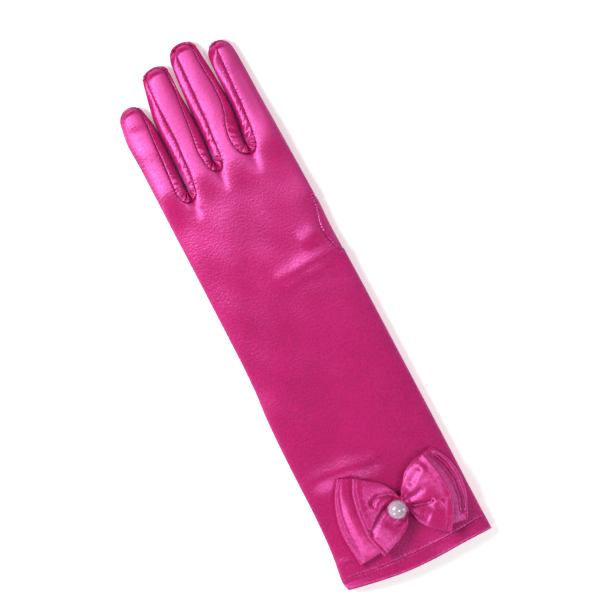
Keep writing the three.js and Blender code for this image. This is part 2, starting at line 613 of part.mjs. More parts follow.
function stripSolid(gap) {
  const stations = stripStations(gap);
  const triangles = [];
  gridTriangles(stations.map(stripSection), -1, triangles);
  const square = (point) => {
    const nearest = stations.reduce((best, station) => {
      const off = Math.hypot(point.x - station.seam.x, point.y - station.seam.y);
      return off < best.off ? { off, station } : best;
    }, { off: Infinity, station: null }).station;
    return nearest.away;
  };
  const tips = [stations[0], stations.at(-1)].map((station) => stripSection(station)[0]);
  const wall = inwardCloth(CLOTH, square);
  return thicken(triangles, (point, normal, onEdge) =>
    tips.some((tip) => tip.distanceTo(point) < 0.01) ? point3(0, -CLOTH, 0) : wall(point, normal, onEdge));
}

// The thumb

const THUMB_GRID = { along: 7, wrap: 3 };

// How full the flattened thumb is at one place, 1 in the middle and 0 at its edges and tip
function thumbFull(r, s, end) {
  const tip = s > end - THUMB_TIP_ROUND ? rounded((s - end + THUMB_TIP_ROUND) / THUMB_TIP_ROUND, 2.2) : 1;
  return rounded(r, 3) * tip;
}

// A point of the thumb's edge along its visible seam, r running along it from -1 to 1, and the way off the seam
function thumbSeamAt(r) {
  const onSeam = (t) => {
    const y = mix(THUMB_HOLE.low, THUMB_HOLE.high, (clamp01((t + 1) / 2)));
    return new THREE.Vector2(sleeveRight(y) - thumbSeam(y, true), y);
  };
  const [before, after] = [onSeam(r - 0.1), onSeam(r + 0.1)];
  const away = point3(after.y - before.y, before.x - after.x, 0).normalize();
  const end = SEAM_GAP * Math.sign(r) * (Math.abs(r) > 0.99 ? 1 : 0);
  const at = onSeam(r).add(new THREE.Vector2(SEAM_GAP * away.x, end === 0 ? SEAM_GAP * away.y : -end));
  return { seam: point3(at.x, at.y, heights(at.x, at.y, null).top), away };
}

function thumbSolid() {
  const triangles = [];
  const across = even(HOLE_STEPS).map((t) => -Math.cos(t * Math.PI));
  const floorRows = [];
  const upperRows = [];
  const columns = across.map((r) => {
    const end = 1 - THUMB_TIP_ROUND * (1 - rounded(r, 2));
    const { seam } = thumbSeamAt(r);
    const body = even(THUMB_GRID.along).map((t) => {
      const s = mix(0.1, end, t ** 0.9);
      const plan = thumbPlan(s, r);
      const full = thumbFull(r, s, end);
      return { plan, low: (THUMB_HEIGHT / 2) * (1 - full), high: (THUMB_HEIGHT / 2) * (1 + full) };
    });
    const first = body[0];
    const bulge = sleeveRight(seam.y) + FOLD_BULGE * rounded(r, 4);
    const curve = new THREE.CubicBezierCurve3(
      seam,
      point3(bulge, mix(seam.y, first.plan.y, 0.3), mix(seam.z, first.low, 0.25)),
      point3(bulge, mix(seam.y, first.plan.y, 0.7), first.low),
      point3(first.plan.x, first.plan.y, first.low),
    );
    const wrap = even(THUMB_GRID.wrap + 1).slice(0, -1).map((t) => curve.getPoint(t));
    const holeReach = mix(0.1, 0.3, rounded(r, 2));
    const upper = even(THUMB_GRID.along).map((t) => {
      const s = mix(holeReach, end, t ** 0.9);
      const plan = thumbPlan(s, r);
      return point3(plan.x, plan.y, (THUMB_HEIGHT / 2) * (1 + thumbFull(r, s, end)));
    });
    return { floor: [...wrap, ...body.map(({ plan, low }) => point3(plan.x, plan.y, low))], upper };
  });
  for (let j = 0; j < columns[0].floor.length; j++) floorRows.push(columns.map(({ floor }) => floor[j]));
  for (let j = 0; j < columns[0].upper.length; j++) upperRows.push(columns.map(({ upper }) => upper[j]));
  gridTriangles(floorRows, -1, triangles);
  gridTriangles(upperRows, 1, triangles);
  const seams = across.map(thumbSeamAt);
  const square = (point) => {
    if (point.z < THUMB_HEIGHT) return null;
    const nearest = seams.find(({ seam }) => seam.distanceTo(point) < 0.01);
    return nearest ? nearest.away : ALONG;
  };
  return thicken(triangles, inwardCloth(CLOTH, square));
}

// The bows

const LOOP_GRID = { across: 7, out: 6 };

const curveThrough = (points) => new THREE.SplineCurve(points.map(({ x, y }) => new THREE.Vector2(x, y)));

// A point of a loop in plan, blended from its four sides: out runs from the knot to the fold, across down its width
function loopPlan(loop, out, across) {
  const [top, outer, bottom] = [loop.top, loop.outer, loop.bottom].map(curveThrough);
  const [upper, lower, far] = [top.getPoint(out), bottom.getPoint(out), outer.getPoint(across)];
  const near = loop.top[0];
  const knot = new THREE.Vector2(mix(near.x, loop.bottom[0].x, across), mix(near.y, loop.bottom[0].y, across));
  const corners = new THREE.Vector2(
    mix(mix(near.x, loop.bottom[0].x, across), mix(loop.outer[0].x, loop.outer.at(-1).x, across), out),
    mix(mix(near.y, loop.bottom[0].y, across), mix(loop.outer[0].y, loop.outer.at(-1).y, across), out),
  );
  return new THREE.Vector2(
    mix(upper.x, lower.x, across) + mix(knot.x, far.x, out) - corners.x,
    mix(upper.y, lower.y, across) + mix(knot.y, far.y, out) - corners.y,
  );
}

// A loop of ribbon: its front goes out to the fold and its back comes home below
function loopSheet(name, bow) {
  const loop = LOOPS[name];
  const upper = bow === UPPER_BOW;
  const pleats = PLEATS.filter((pleat) => pleat.loop === name);
  const acrossSteps = even(LOOP_GRID.across);
  const outSteps = even(LOOP_GRID.out).map((t) => Math.sin((t * Math.PI) / 2) ** 0.9);
  const pointAt = (out, across, front) => {
    const plan = loopPlan(loop, out, across);
    const under = heights(plan.x, plan.y, null).top;
    const base = under + bow.base + (upper ? bow.rise * out : 0);
    const height = mix(bow.knotHeight, bow.foldHeight, out ** 0.8);
    const fold = rounded(out, 7);
    const fan = pleats.reduce((sum, pleat) => {
      const reach = smooth((pleat.out - out) / 0.3) * smooth(out / 0.15);
      return sum + pleat.height * reach * Math.exp(-(((across - pleat.across) / pleat.width) ** 2));
    }, 0);
    const shaped = front ? height / 2 + (height / 2) * fold + fan * fold : height / 2 - (height / 2) * fold;
    return point3(plan.x, plan.y, base + shaped);
  };
  const front = outSteps.map((out) => acrossSteps.map((across) => pointAt(out, across, true)));
  const back = outSteps.map((out) => acrossSteps.map((across) => pointAt(out, across, false)));
  const triangles = [];
  const facing = name.endsWith('Left') ? 1 : -1;
  gridTriangles([...front, ...back.reverse().slice(1)], -facing, triangles);
  return thicken(triangles, inwardCloth(CLOTH * 0.9, null));
}

// A three.js geometry as a manifold-3d solid, and back
function solidOf(geometry) {
  const bare = geometry.clone();
  bare.deleteAttribute('normal');
  bare.deleteAttribute('uv');
  const merged = mergeVertices(bare, 1e-4);
  return new wasm.Manifold(new wasm.Mesh({
    numProp: 3,
    vertProperties: new Float32Array(merged.attributes.position.array),
    triVerts: new Uint32Array(merged.index.array),
  }));
}

function geometryOf(solid) {
  const { vertProperties, triVerts } = solid.getMesh();
  return new THREE.BufferGeometry()
    .setAttribute('position', new THREE.BufferAttribute(new Float32Array(vertProperties), 3))
    .setIndex(new THREE.BufferAttribute(new Uint32Array(triVerts), 1));
}

// The gathered cloth where the two loops of a bow meet
function pinch(bow) {
  const under = heights(KNOT.x, KNOT.y, null).top;
  const core = new THREE.SphereGeometry(1, 16, 10);
  core.scale(3.4, 6.6, bow.knotHeight / 2 + 0.02);
  core.translate(KNOT.x, KNOT.y, under + bow.base + bow.knotHeight / 2);
  return core;
}

function bowSolid(bow, leftName, rightName) {
  const parts = [loopSheet(leftName, bow), loopSheet(rightName, bow), pinch(bow)].map(solidOf);
  return geometryOf(parts[0].add(parts[1]).add(parts[2]));
}

// The bead

function beadMesh(geometry) {
  const mesh = new THREE.Mesh(geometry, finish(COLOURS.bead, 0.2, 0.05));
  const under = heights(BEAD.x, BEAD.y, null).top + UPPER_BOW.base + UPPER_BOW.knotHeight;
  mesh.position.set(BEAD.x, BEAD.y, under + 1.3 + BEAD.radius);
  return mesh;
}

function finish(color, roughness, metalness) {
  return new THREE.MeshStandardMaterial({ color, roughness, metalness });
}

const glove = new THREE.Group();

function place(name, mesh) {
  mesh.name = name;
  glove.add(mesh);
}

place('trank', new THREE.Mesh(trankSolid(), finish(COLOURS.satin, 0.35, 0)));
for (const gap of GAPS) {
  place(`fourchette_${gap.name}`, new THREE.Mesh(stripSolid(gap), finish(COLOURS.strip, 0.35, 0)));
}
place('thumb', new THREE.Mesh(thumbSolid(), finish(COLOURS.satin, 0.35, 0)));
place('bow_lower', new THREE.Mesh(bowSolid(LOWER_BOW, 'lowerLeft', 'lowerRight'), finish(COLOURS.bow, 0.3, 0)));
place('bow_upper', new THREE.Mesh(bowSolid(UPPER_BOW, 'upperLeft', 'upperRight'), finish(COLOURS.bow, 0.3, 0)));
place('pearl_bead', beadMesh(new THREE.SphereGeometry(BEAD.radius, 16, 12)));

export default glove;
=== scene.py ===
"""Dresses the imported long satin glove: its cloth, seams and stitches, the two bows and the bead, on a pale floor.

Plan coordinates in the tables are millimetres: X across the hand towards the thumb, Y towards the fingertips, Z up.
"""

import logging
import math
from collections.abc import Callable, Sequence
from dataclasses import dataclass, field
from enum import Enum

import bpy
import numpy as np
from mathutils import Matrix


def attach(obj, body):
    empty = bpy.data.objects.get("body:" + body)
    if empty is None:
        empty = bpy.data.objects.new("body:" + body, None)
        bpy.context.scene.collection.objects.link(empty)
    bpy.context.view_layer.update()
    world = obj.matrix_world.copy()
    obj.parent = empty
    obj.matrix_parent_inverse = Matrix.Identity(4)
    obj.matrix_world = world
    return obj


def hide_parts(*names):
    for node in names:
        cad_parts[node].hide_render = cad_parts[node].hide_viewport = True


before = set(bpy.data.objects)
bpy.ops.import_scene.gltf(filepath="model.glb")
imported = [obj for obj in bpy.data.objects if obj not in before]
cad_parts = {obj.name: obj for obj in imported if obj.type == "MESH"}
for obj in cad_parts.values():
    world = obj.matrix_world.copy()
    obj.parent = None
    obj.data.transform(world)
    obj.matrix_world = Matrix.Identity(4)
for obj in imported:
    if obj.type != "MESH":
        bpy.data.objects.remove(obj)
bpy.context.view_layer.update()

LOG = logging.getLogger("satin_glove")
MM = 0.001
Array = np.ndarray
RIB_TURNS = 628.3
STEEPEST = 2
DASH_PITCH = 1.6


# ---------------------------------------------------------------- numbers and curves


def clamp01(t: Array | float) -> Array:
    """Limits every value to the span from 0 to 1."""
    return np.clip(t, 0.0, 1.0)


def smooth(t: Array | float) -> Array:
    """Rises from 0 to 1 with level ends: t squared times (3 - 2t)."""
    t = clamp01(t)
    return t * t * (3 - 2 * t)


def mix(a: Array | float, b: Array | float, t: Array | float) -> Array:
    """Goes from a to b in a straight line as t goes from 0 to 1."""
    return a + (b - a) * t


def rounded(u: Array | float, power: float) -> Array:
    """Height of a round section: the power-th root of 1 - |u| to that power, which is 1 in the middle and 0 at 1."""
    return (1 - clamp01(np.abs(u)) ** power) ** (1 / power)


def bell(distance: Array, width: float) -> Array:
    """A bump that is 1 at no distance and falls as exp of minus the squared share of its width."""
    return np.exp(-((distance / width) ** 2))


def even(count: int) -> Array:
    """Places from 0 to 1 at even steps, count steps in all."""
    return np.linspace(0.0, 1.0, count + 1)


def turned(t: Array) -> Array:
    """Places that crowd towards both ends, as those of a half circle seen from above do."""
    return (1 - np.cos(t * math.pi)) / 2


class Column:
    """One measured column against one place, read between rows by cubic pieces that don't overshoot."""

    def __init__(self, at: Sequence[float], value: Sequence[float]) -> None:
        """Works out the slope at each row, after Fritsch and Carlson.

        Args:
            at: The rows' places, rising.
            value: The rows' values.
        """
        self.at = np.asarray(at, float)
        self.value = np.asarray(value, float)
        self.step = np.diff(self.at)
        slope = np.diff(self.value) / self.step
        before, after = slope[:-1], slope[1:]
        total = np.where(before + after == 0, 1.0, before + after)
        inner = np.where(before * after > 0, 2 * before * after / total, 0.0)
        self.tangent = np.concatenate([slope[:1], inner, slope[-1:]])

    def __call__(self, place: Array | float) -> Array:
        """The column's value at each place, held level past the first and last rows."""
        p = np.clip(place, self.at[0], self.at[-1])
        i = np.clip(np.searchsorted(self.at, p, side="right") - 1, 0, len(self.step) - 1)
        h = self.step[i]
        t = (p - self.at[i]) / h
        return (
            (1 + 2 * t) * (1 - t) ** 2 * self.value[i]
            + t * (1 - t) ** 2 * h * self.tangent[i]
            + t * t * (3 - 2 * t) * self.value[i + 1]
            + t * t * (t - 1) * h * self.tangent[i + 1]
        )


def along_points(points: Sequence[Sequence[float]], t: Array) -> Array:
    """A smooth curve through the points, each reached at an even share of t (a Catmull-Rom curve).

    Args:
        points: The points that it passes.
        t: Places from 0 at the first point to 1 at the last.

    Returns:
        The curve's points, one row for each place.
    """
    p = np.asarray(points, float)
    p = np.vstack([2 * p[0] - p[1], p, 2 * p[-1] - p[-2]])
    at = clamp01(t) * (len(p) - 3)
    i = np.minimum(at.astype(int), len(p) - 4)
    u = (at - i)[..., None]
    a, b, c, d = p[i], p[i + 1], p[i + 2], p[i + 3]
    return 0.5 * (2 * b + (c - a) * u + (2 * a - 5 * b + 4 * c - d) * u**2 + (3 * b - a - 3 * c + d) * u**3)


@dataclass(frozen=True)
class Fold:
    """A ridge (height above 0) or valley (below 0) of the cloth along a line in plan, in millimetres."""

    path: tuple[tuple[float, float], ...]
    width: float
    height: float
    taper: float = 0.25
    lean: float = 0.0

    def rise(self, x: Array, y: Array) -> Array:
        """The fold's height at each place: a bell across its line, tapered over a share of its length at each end.

        A lean above 0 makes the bell wider on the left of the line's direction and steeper on its right.
        """
        p = np.asarray(self.path, float)
        spans = np.hypot(*np.diff(p, axis=0).T)
        start = np.concatenate([[0.0], np.cumsum(spans)])
        best = np.full(np.shape(x), np.inf)
        run, side = np.zeros(np.shape(x)), np.zeros(np.shape(x))
        for (ax, ay), (bx, by), span, before in zip(p[:-1], p[1:], spans, start):
            t = clamp01(((x - ax) * (bx - ax) + (y - ay) * (by - ay)) / span**2)
            off = np.hypot(x - ax - t * (bx - ax), y - ay - t * (by - ay))
            nearer = off < best
            best = np.where(nearer, off, best)
            run = np.where(nearer, (before + t * span) / start[-1], run)
            side = np.where(nearer, np.sign((bx - ax) * (y - ay) - (by - ay) * (x - ax)), side)
        ends = smooth(run / self.taper) * smooth((1 - run) / self.taper) if self.taper > 0 else 1.0
        return self.height * bell(best, self.width * (1 + self.lean * side)) * ends


def total_rise(folds: Sequence[Fold], x: Array, y: Array) -> Array:
    """The sum of the folds' heights at each place."""
    return sum((fold.rise(x, y) for fold in folds), np.zeros(np.shape(x)))


# ---------------------------------------------------------------- the glove's form


class Wobble:
    """A calm, repeatable waviness: a sum of a few sines of fixed random direction and phase."""

    def __init__(self, seed: int, longest: float, shortest: float, count: int = 7) -> None:
        """Draws the waves.

        Args:
            seed: The random seed.
            longest: The longest wavelength, in millimetres.
            shortest: The shortest wavelength.
            count: How many waves there are.
        """
        draw = np.random.default_rng(seed)
        length = np.geomspace(longest, shortest, count)
        angle = draw.uniform(0, 2 * math.pi, count)
        self.turn = 2 * math.pi / length * np.array([np.cos(angle), np.sin(angle)])
        self.phase = draw.uniform(0, 2 * math.pi, count)
        self.size = (length / longest) ** 0.7 / math.sqrt(count)

    def __call__(self, x: Array, y: Array) -> Array:
        """The waviness at each place, mostly within -1 to 1."""
        waves = np.sin(x[..., None] * self.turn[0] + y[..., None] * self.turn[1] + self.phase)
        return (waves * self.size).sum(-1) * 1.6


@dataclass
class Finger:
    """One finger's plan: its rows give y, left silhouette, left seam, right seam and right silhouette."""

    name: str
    tip: float
    round: float
    rows: tuple[tuple[float, float, float, float, float], ...]

    def __post_init__(self) -> None:
        """Makes a column of each of the finger's measures."""
        y, left, seam_left, seam_right, right = zip(*self.rows)
        self.left, self.right = Column(y, left), Column(y, right)
        self.seam_left, self.seam_right = Column(y, seam_left), Column(y, seam_right)

    def across(self, x: Array, y: Array) -> Array:
        """Where x lies across the finger, from -1 at its left silhouette to 1 at its right."""
        left, right = self.left(y), self.right(y)
        return (2 * x - left - right) / (right - left)

    def end(self, across: Array | float) -> Array:
        """How far up the round fingertip reaches at a place across the finger."""
        return self.tip - self.round * (1 - rounded(across, 2.2))


@dataclass(frozen=True)
class Slit:
    """The gap between two fingers: the round foot of its seam, and the crotch where the fingers part."""

    name: str
    outer: Finger
    inner: Finger
    foot_x: float
    foot_y: float
    wall_y: float
    crotch_y: float
    cut: tuple[float, float]

    def foot(self, share: Array) -> tuple[Array, Array]:
        """The seam's half-oval foot, from its left side to its right."""
        left, right = self.outer.seam_right(self.wall_y), self.inner.seam_left(self.wall_y)
        x = mix(left, right, share)
        side = np.where(x < self.foot_x, self.foot_x - left, right - self.foot_x)
        drop = np.sqrt(np.maximum(0, 1 - ((x - self.foot_x) / side) ** 2))
        return x, self.wall_y - (self.wall_y - self.foot_y) * drop


LITTLE = Finger("little", 142.2, 6.5, (
    (86, -36.3, -36.3, -24.8, -19.0), (94, -36.2, -36.2, -24.2, -18.6), (107, -36.1, -36.1, -23.1, -18.4),
    (115, -36.3, -36.3, -22.5, -18.3), (123, -36.5, -36.5, -21.7, -18.3), (130, -35.6, -35.6, -21.1, -18.9),
    (136, -34.5, -34.5, -20.9, -19.6), (142.2, -33.0, -33.0, -21.6, -20.4),
))
RING = Finger("ring", 155.3, 6.0, (
    (86, -18.3, -13.9, -2.6, 1.6), (95, -17.7, -12.5, -2.6, 1.7), (101, -17.6, -12.0, -3.1, 2.1),
    (108, -17.5, -11.4, -2.3, 2.6), (115, -17.3, -11.0, -1.2, 2.9), (123, -17.0, -11.0, -0.2, 3.0),
    (131, -16.5, -11.1, 0.8, 3.0), (139, -15.2, -11.1, 1.7, 3.1), (147, -13.3, -10.6, 1.9, 3.4),
    (155.3, -11.6, -9.6, 1.4, 2.8),
))
MIDDLE = Finger("middle", 160.4, 8.0, (
    (94, 2.3, 6.8, 16.3, 22.5), (100, 2.9, 7.4, 15.8, 23.0), (107, 3.5, 8.2, 17.1, 24.3),
    (115, 3.9, 9.0, 20.2, 25.2), (123, 4.1, 9.5, 21.8, 25.3), (131, 4.3, 10.0, 21.9, 25.2),
    (139, 4.8, 10.3, 21.4, 24.8), (147, 5.6, 10.8, 21.0, 24.1), (154, 6.5, 11.1, 21.0, 23.6),
    (160.4, 7.2, 11.6, 21.1, 23.3),
))
INDEX = Finger("index", 152.3, 7.5, (
    (94, 23.1, 28.2, 42.8, 42.8), (100, 23.6, 29.4, 42.7, 42.7), (107, 24.9, 30.1, 42.5, 42.5),
    (115, 25.8, 31.0, 42.3, 42.3), (123, 25.9, 31.4, 42.2, 42.2), (131, 25.9, 31.9, 42.1, 42.1),
    (139, 26.1, 32.4, 41.9, 41.9), (146, 26.6, 32.9, 41.4, 41.4), (152.3, 27.2, 33.2, 40.8, 40.8),
))
SLITS = (
    Slit("ring_little", LITTLE, RING, -19.8, 79.5, 86, 86.5, (0.0130, 0.150)),
    Slit("middle_ring", RING, MIDDLE, 2.8, 87.7, 95, 94.6, (0.0120, 0.148)),
    Slit("index_middle", MIDDLE, INDEX, 23.3, 88.0, 97, 94.4, (0.0125, 0.158)),
)


@dataclass
class GloveForm:
    """The outline and heights of the lying glove, which every piece of its cloth follows."""

    sleeve_rows: tuple[tuple[float, float, float], ...] = (
        (-165, -42.4, 44.0), (-153.8, -43.2, 44.0), (-149, -44.1, 43.9), (-142, -43.3, 43.9), (-134, -42.1, 43.9),
        (-124, -41.2, 44.0), (-106, -40.4, 44.1), (-86, -40.2, 44.1), (-66, -39.8, 44.1), (-48, -39.0, 44.1),
        (-31, -37.5, 44.1), (-12, -36.8, 44.1), (12, -36.6, 43.9), (40, -36.4, 43.7), (70, -36.3, 43.3),
        (100, -36.1, 42.7),
    )
    cuff_rows: tuple[tuple[float, float], ...] = (
        (-44, -153.6), (-35, -155.4), (-25, -157.3), (-15, -158.9), (-5, -160.0), (8, -160.5), (30, -160.1),
        (44, -160.3),
    )
    sleeve_edge: float = 5.0
    sleeve_top: float = 12.0
    sleeve_power: float = 2.8
    sleeve_flat: float = 0.72
    finger_edge: float = 4.7
    finger_top: float = 11.5
    finger_power: float = 2.3
    finger_flat: float = 0.45
    under_power: float = 2.2
    tip_fall: float = 5.5
    knuckle_blend: float = 28.0
    foot_level: float = 88.0
    cuff_level: float = -160.0
    hole_low: float = 17.0
    hole_high: float = 50.5
    hole_reach: float = 9.6
    hole_least: float = 2.2
    thumb_height: float = 3.3
    thumb_clearance: float = 0.3
    lift_ramp: float = 16.0
    top_lift_share: float = 0.1
    thumb_rows: tuple[tuple[float, float, float, float], ...] = (
        (0.0, 43.4, 33.8, 16.0), (0.2, 33.5, 35.4, 14.6), (0.4, 24.0, 38.6, 12.8), (0.6, 15.0, 43.0, 11.4),
        (0.8, 6.5, 48.0, 10.6), (1.0, -2.0, 53.4, 9.8),
    )
    creases: tuple[Fold, ...] = (
        Fold(((6, 17.5), (40, 18.5)), 4.6, 0.66, 0.0),
        Fold(((-40, -92.5), (2, -96.5)), 5.4, 0.85, 0.0),
    )
    folds: tuple[Fold, ...] = ()
    wobble: Wobble = field(default_factory=lambda: Wobble(11, 70.0, 16.0))
    finger_slope: float = 0.055
    slope_from: float = 90.0

    def __post_init__(self) -> None:
        """Makes the columns of the sleeve, the cuff, the thumb and its seam."""
        y, left, right = zip(*self.sleeve_rows)
        self.sleeve_left, self.sleeve_right = Column(y, left), Column(y, right)
        self.cuff_line = Column(*zip(*self.cuff_rows))
        self.foot_line = Column((-20, 2.8, 23.3), (79.5, 87.7, 88.0))
        self.seam_back = Column(
            (-170, 8, 17, 20, 26, 32, 37, 43, 50.5, 58, 68, 170), (3, 3, 2.6, 3.7, 5.3, 5.8, 5.0, 3.0, 2.2, 2.8, 3, 3)
        )
        s, x, y, half = zip(*self.thumb_rows)
        self.thumb_x, self.thumb_y, self.thumb_half = Column(s, x), Column(s, y), Column(s, half)

    def left_edge(self, y: Array) -> Array:
        """The left silhouette, from the sleeve's into the little finger's."""
        return mix(self.sleeve_left(y), LITTLE.left(y), smooth((y - self.foot_level) / 12))

    def right_edge(self, y: Array) -> Array:
        """The right silhouette, from the sleeve's into the index finger's."""
        return mix(self.sleeve_right(y), INDEX.right(y), smooth((y - self.foot_level) / 12))

    def lift(self, x: Array, y: Array) -> Array:
        """How much the folded thumb lifts the cloth: full over the discs along it, and a smooth ramp around them."""
        away = np.full(np.shape(x), np.inf)
        for s in np.arange(11) / 11:
            disc = np.hypot(x - self.thumb_x(s), y - self.thumb_y(s)) - self.thumb_half(s)
            away = np.minimum(away, disc)
        return (self.thumb_height + self.thumb_clearance) * smooth(1 - (away - 1.5) / self.lift_ramp)

    def heights(self, x: Array, y: Array, finger: Finger | None) -> tuple[Array, Array, Array]:
        """The heights of the side, the back and the palm of the glove, with the relief of the back's small folds.

        The relief fades out over the last 3 mm down to the side, so that the back still meets the palm there.
        """
        edge, top, bottom = self.plain_heights(x, y, finger)
        relief = total_rise(self.folds, x, y) + 0.22 * self.wobble(x, y)
        relief = relief - self.finger_slope * np.maximum(y - self.slope_from, 0)
        return edge, top + relief * clamp01((top - edge) / 3.0), bottom

    def plain_heights(self, x: Array, y: Array, finger: Finger | None) -> tuple[Array, Array, Array]:
        """The same heights without the relief.

        The sleeve and each finger have a round section between their silhouettes, flat where it lies on the
        table. Across the knuckles one section turns smoothly into the other, and a fingertip falls to its side.

        Args:
            x: Places across the hand.
            y: Places along it.
            finger: The finger that they belong to, or are nearest.

        Returns:
            Heights of the side, the back and the palm, in millimetres.
        """
        raised = self.lift(x, y)
        left, right = self.sleeve_left(y), self.sleeve_right(y)
        over = (2 * x - left - right) / (right - left)
        edge = self.sleeve_edge + 0.45 * raised
        round_top = rounded(over, self.sleeve_power)
        top = edge + (self.sleeve_top + self.top_lift_share * raised - edge) * round_top
        top = top + total_rise(self.creases, x, y) * rounded(over, 2)
        side = clamp01((np.abs(over) - self.sleeve_flat) / (1 - self.sleeve_flat))
        bottom = edge - (edge - raised) * rounded(side, self.under_power)
        if finger is None:
            return edge, top, bottom
        share = smooth((y - self.foot_line(x)) / self.knuckle_blend + 0.5)
        inside = np.minimum(np.abs(finger.across(x, y)), 1)
        end = finger.end(inside)
        fall = np.where(y > end - self.tip_fall, rounded((y - end + self.tip_fall) / self.tip_fall, 2.2), 1.0)
        finger_edge = self.finger_edge + 0.45 * raised
        finger_top = finger_edge + (self.finger_top - self.finger_edge) * rounded(inside, self.finger_power) * fall
        finger_side = clamp01((inside - self.finger_flat) / (1 - self.finger_flat))
        finger_bottom = finger_edge - (finger_edge - raised) * rounded(finger_side, self.under_power) * fall
        return (
            mix(edge, finger_edge, share),
            mix(top, finger_top, share),
            mix(bottom, finger_bottom, share),
        )

    def thumb_seam(self, y: Array, back: bool) -> Array:
        """How far the thumb's seam lies in from the right silhouette, on the back or on the palm side."""
        if back:
            return self.seam_back(y)
        middle, half = (self.hole_low + self.hole_high) / 2, (self.hole_high - self.hole_low) / 2
        away = np.abs(y - middle)
        inside = self.hole_least + self.hole_reach * rounded((y - middle) / half, 2)
        return np.where(away <= half, inside, np.minimum(3, self.hole_least + 0.15 * away))

    def at_wall(self, x: Array, wall_y: float, y: Array) -> Array:
        """A place at a slit's wall, carried down the palm and sleeve at the same share of their width."""
        low, high = self.left_edge(wall_y), self.right_edge(wall_y)
        return mix(self.left_edge(y), self.right_edge(y), (x - low) / (high - low))

    def row_level(self, level: Array, x: Array, foot_y: Array) -> Array:
        """The y of a row at one column: it follows the cuff's curve below and the slits' feet above."""
        cuff = (self.cuff_line(x) - self.cuff_level) * (1 - smooth((level - self.cuff_level) / 40))
        start = self.hole_high + 4
        return level + cuff + (foot_y - self.foot_level) * smooth((level - start) / (self.foot_level - start))

    def thumb_plan(self, s: Array, r: Array) -> tuple[Array, Array]:
        """A place on the folded thumb: s runs from the fold to the tip, r across it from -1 to 1."""
        step = 0.01
        dx, dy = self.thumb_x(s + step) - self.thumb_x(s - step), self.thumb_y(s + step) - self.thumb_y(s - step)
        size, half = np.hypot(dx, dy), self.thumb_half(s)
        return self.thumb_x(s) + r * half * dy / size, self.thumb_y(s) - r * half * dx / size


# ---------------------------------------------------------------- meshes


@dataclass
class Grid:
    """A sheet of cloth as a grid: points and cloth coordinates in millimetres, faces seen from its outer side."""

    points: Array
    cloth: Array
    keep: Array | None = None
    flip: bool = False

    def corners(self) -> Array:
        """Four corner numbers for each kept cell, in the order that makes it face outwards."""
        rows, cols = self.points.shape[:2]
        number = np.arange(rows * cols).reshape(rows, cols)
        quads = np.stack([number[:-1, :-1], number[:-1, 1:], number[1:, 1:], number[1:, :-1]], axis=-1)
        if self.keep is not None:
            quads = quads[self.keep]
        quads = quads.reshape(-1, 4)
        return quads[:, ::-1] if self.flip else quads


@dataclass
class Sheet:
    """A merged mesh of one or more grids: its points, its polygons' corners and what each corner carries."""

    points: Array
    corners: Array
    cloth: Array
    source: Array

    @classmethod
    def sewn(cls, grids: Sequence[Grid], tolerance: float = 2e-3) -> "Sheet":
        """Joins grids along the points that they share.

        Args:
            grids: The grids, whose meeting edges have equal points.
            tolerance: How near two points are one, in millimetres.

        Returns:
            The joined sheet.
        """
        points = np.concatenate([grid.points.reshape(-1, 3) for grid in grids])
        cloth = np.concatenate([grid.cloth.reshape(-1, 2) for grid in grids])
        sizes = np.cumsum([0] + [grid.points.shape[0] * grid.points.shape[1] for grid in grids[:-1]])
        quads = np.concatenate([grid.corners() + start for grid, start in zip(grids, sizes)])
        _, first, where = np.unique(np.round(points / tolerance), axis=0, return_index=True, return_inverse=True)
        return cls(points[first], where.reshape(-1)[quads], cloth, quads)

    def normals(self) -> Array:
        """Each point's outward normal, from the cross products of its faces' diagonals."""
        p = self.points[self.corners]
        face = np.cross(p[:, 2] - p[:, 0], p[:, 3] - p[:, 1])
        total = np.zeros_like(self.points)
        for corner in range(4):
            np.add.at(total, self.corners[:, corner], face)
        return total / np.maximum(np.linalg.norm(total, axis=1, keepdims=True), 1e-9)


def make_piece(name: str, sheet: Sheet, marks: dict[str, Array] | None = None) -> bpy.types.Object:
    """Puts a sheet into a smooth Blender mesh with its cloth coordinates as UVs.

    Args:
        name: The piece's name.
        sheet: The sheet, in millimetres.
        marks: Named numbers, one for each point, that the material reads.

    Returns:
        The new object, at the origin.
    """
    cells = [list(dict.fromkeys(cell)) for cell in sheet.corners.tolist()]
    kept = [number for number, cell in enumerate(cells) if len(cell) >= 3]
    mesh = bpy.data.meshes.new(name)
    mesh.from_pydata((sheet.points * MM).tolist(), [], [cells[number] for number in kept])
    corner_uv = []
    for number in kept:
        where = dict(zip(sheet.corners[number].tolist()[::-1], sheet.source[number].tolist()[::-1]))
        corner_uv.extend(where[corner] for corner in cells[number])
    layer = mesh.uv_layers.new(name="cloth")
    layer.data.foreach_set("uv", (sheet.cloth[corner_uv] * 0.01).ravel())
    for mark, values in (marks or {}).items():
        mesh.attributes.new(mark, "FLOAT", "POINT").data.foreach_set("value", np.asarray(values, np.float32))
    mesh.polygons.foreach_set("use_smooth", np.ones(len(mesh.polygons), dtype=bool))
    mesh.update()
    mesh.validate()
    piece = bpy.data.objects.new(name, mesh)
    bpy.context.scene.collection.objects.link(piece)
    return piece


def give_wall(piece: bpy.types.Object, thickness: float) -> None:
    """Gives an open sheet the cloth's thickness, inwards from its outer side, in millimetres."""
    wall = piece.modifiers.new("cloth", "SOLIDIFY")
    wall.thickness = thickness * MM
    wall.offset = -1.0
    wall.use_even_offset = False


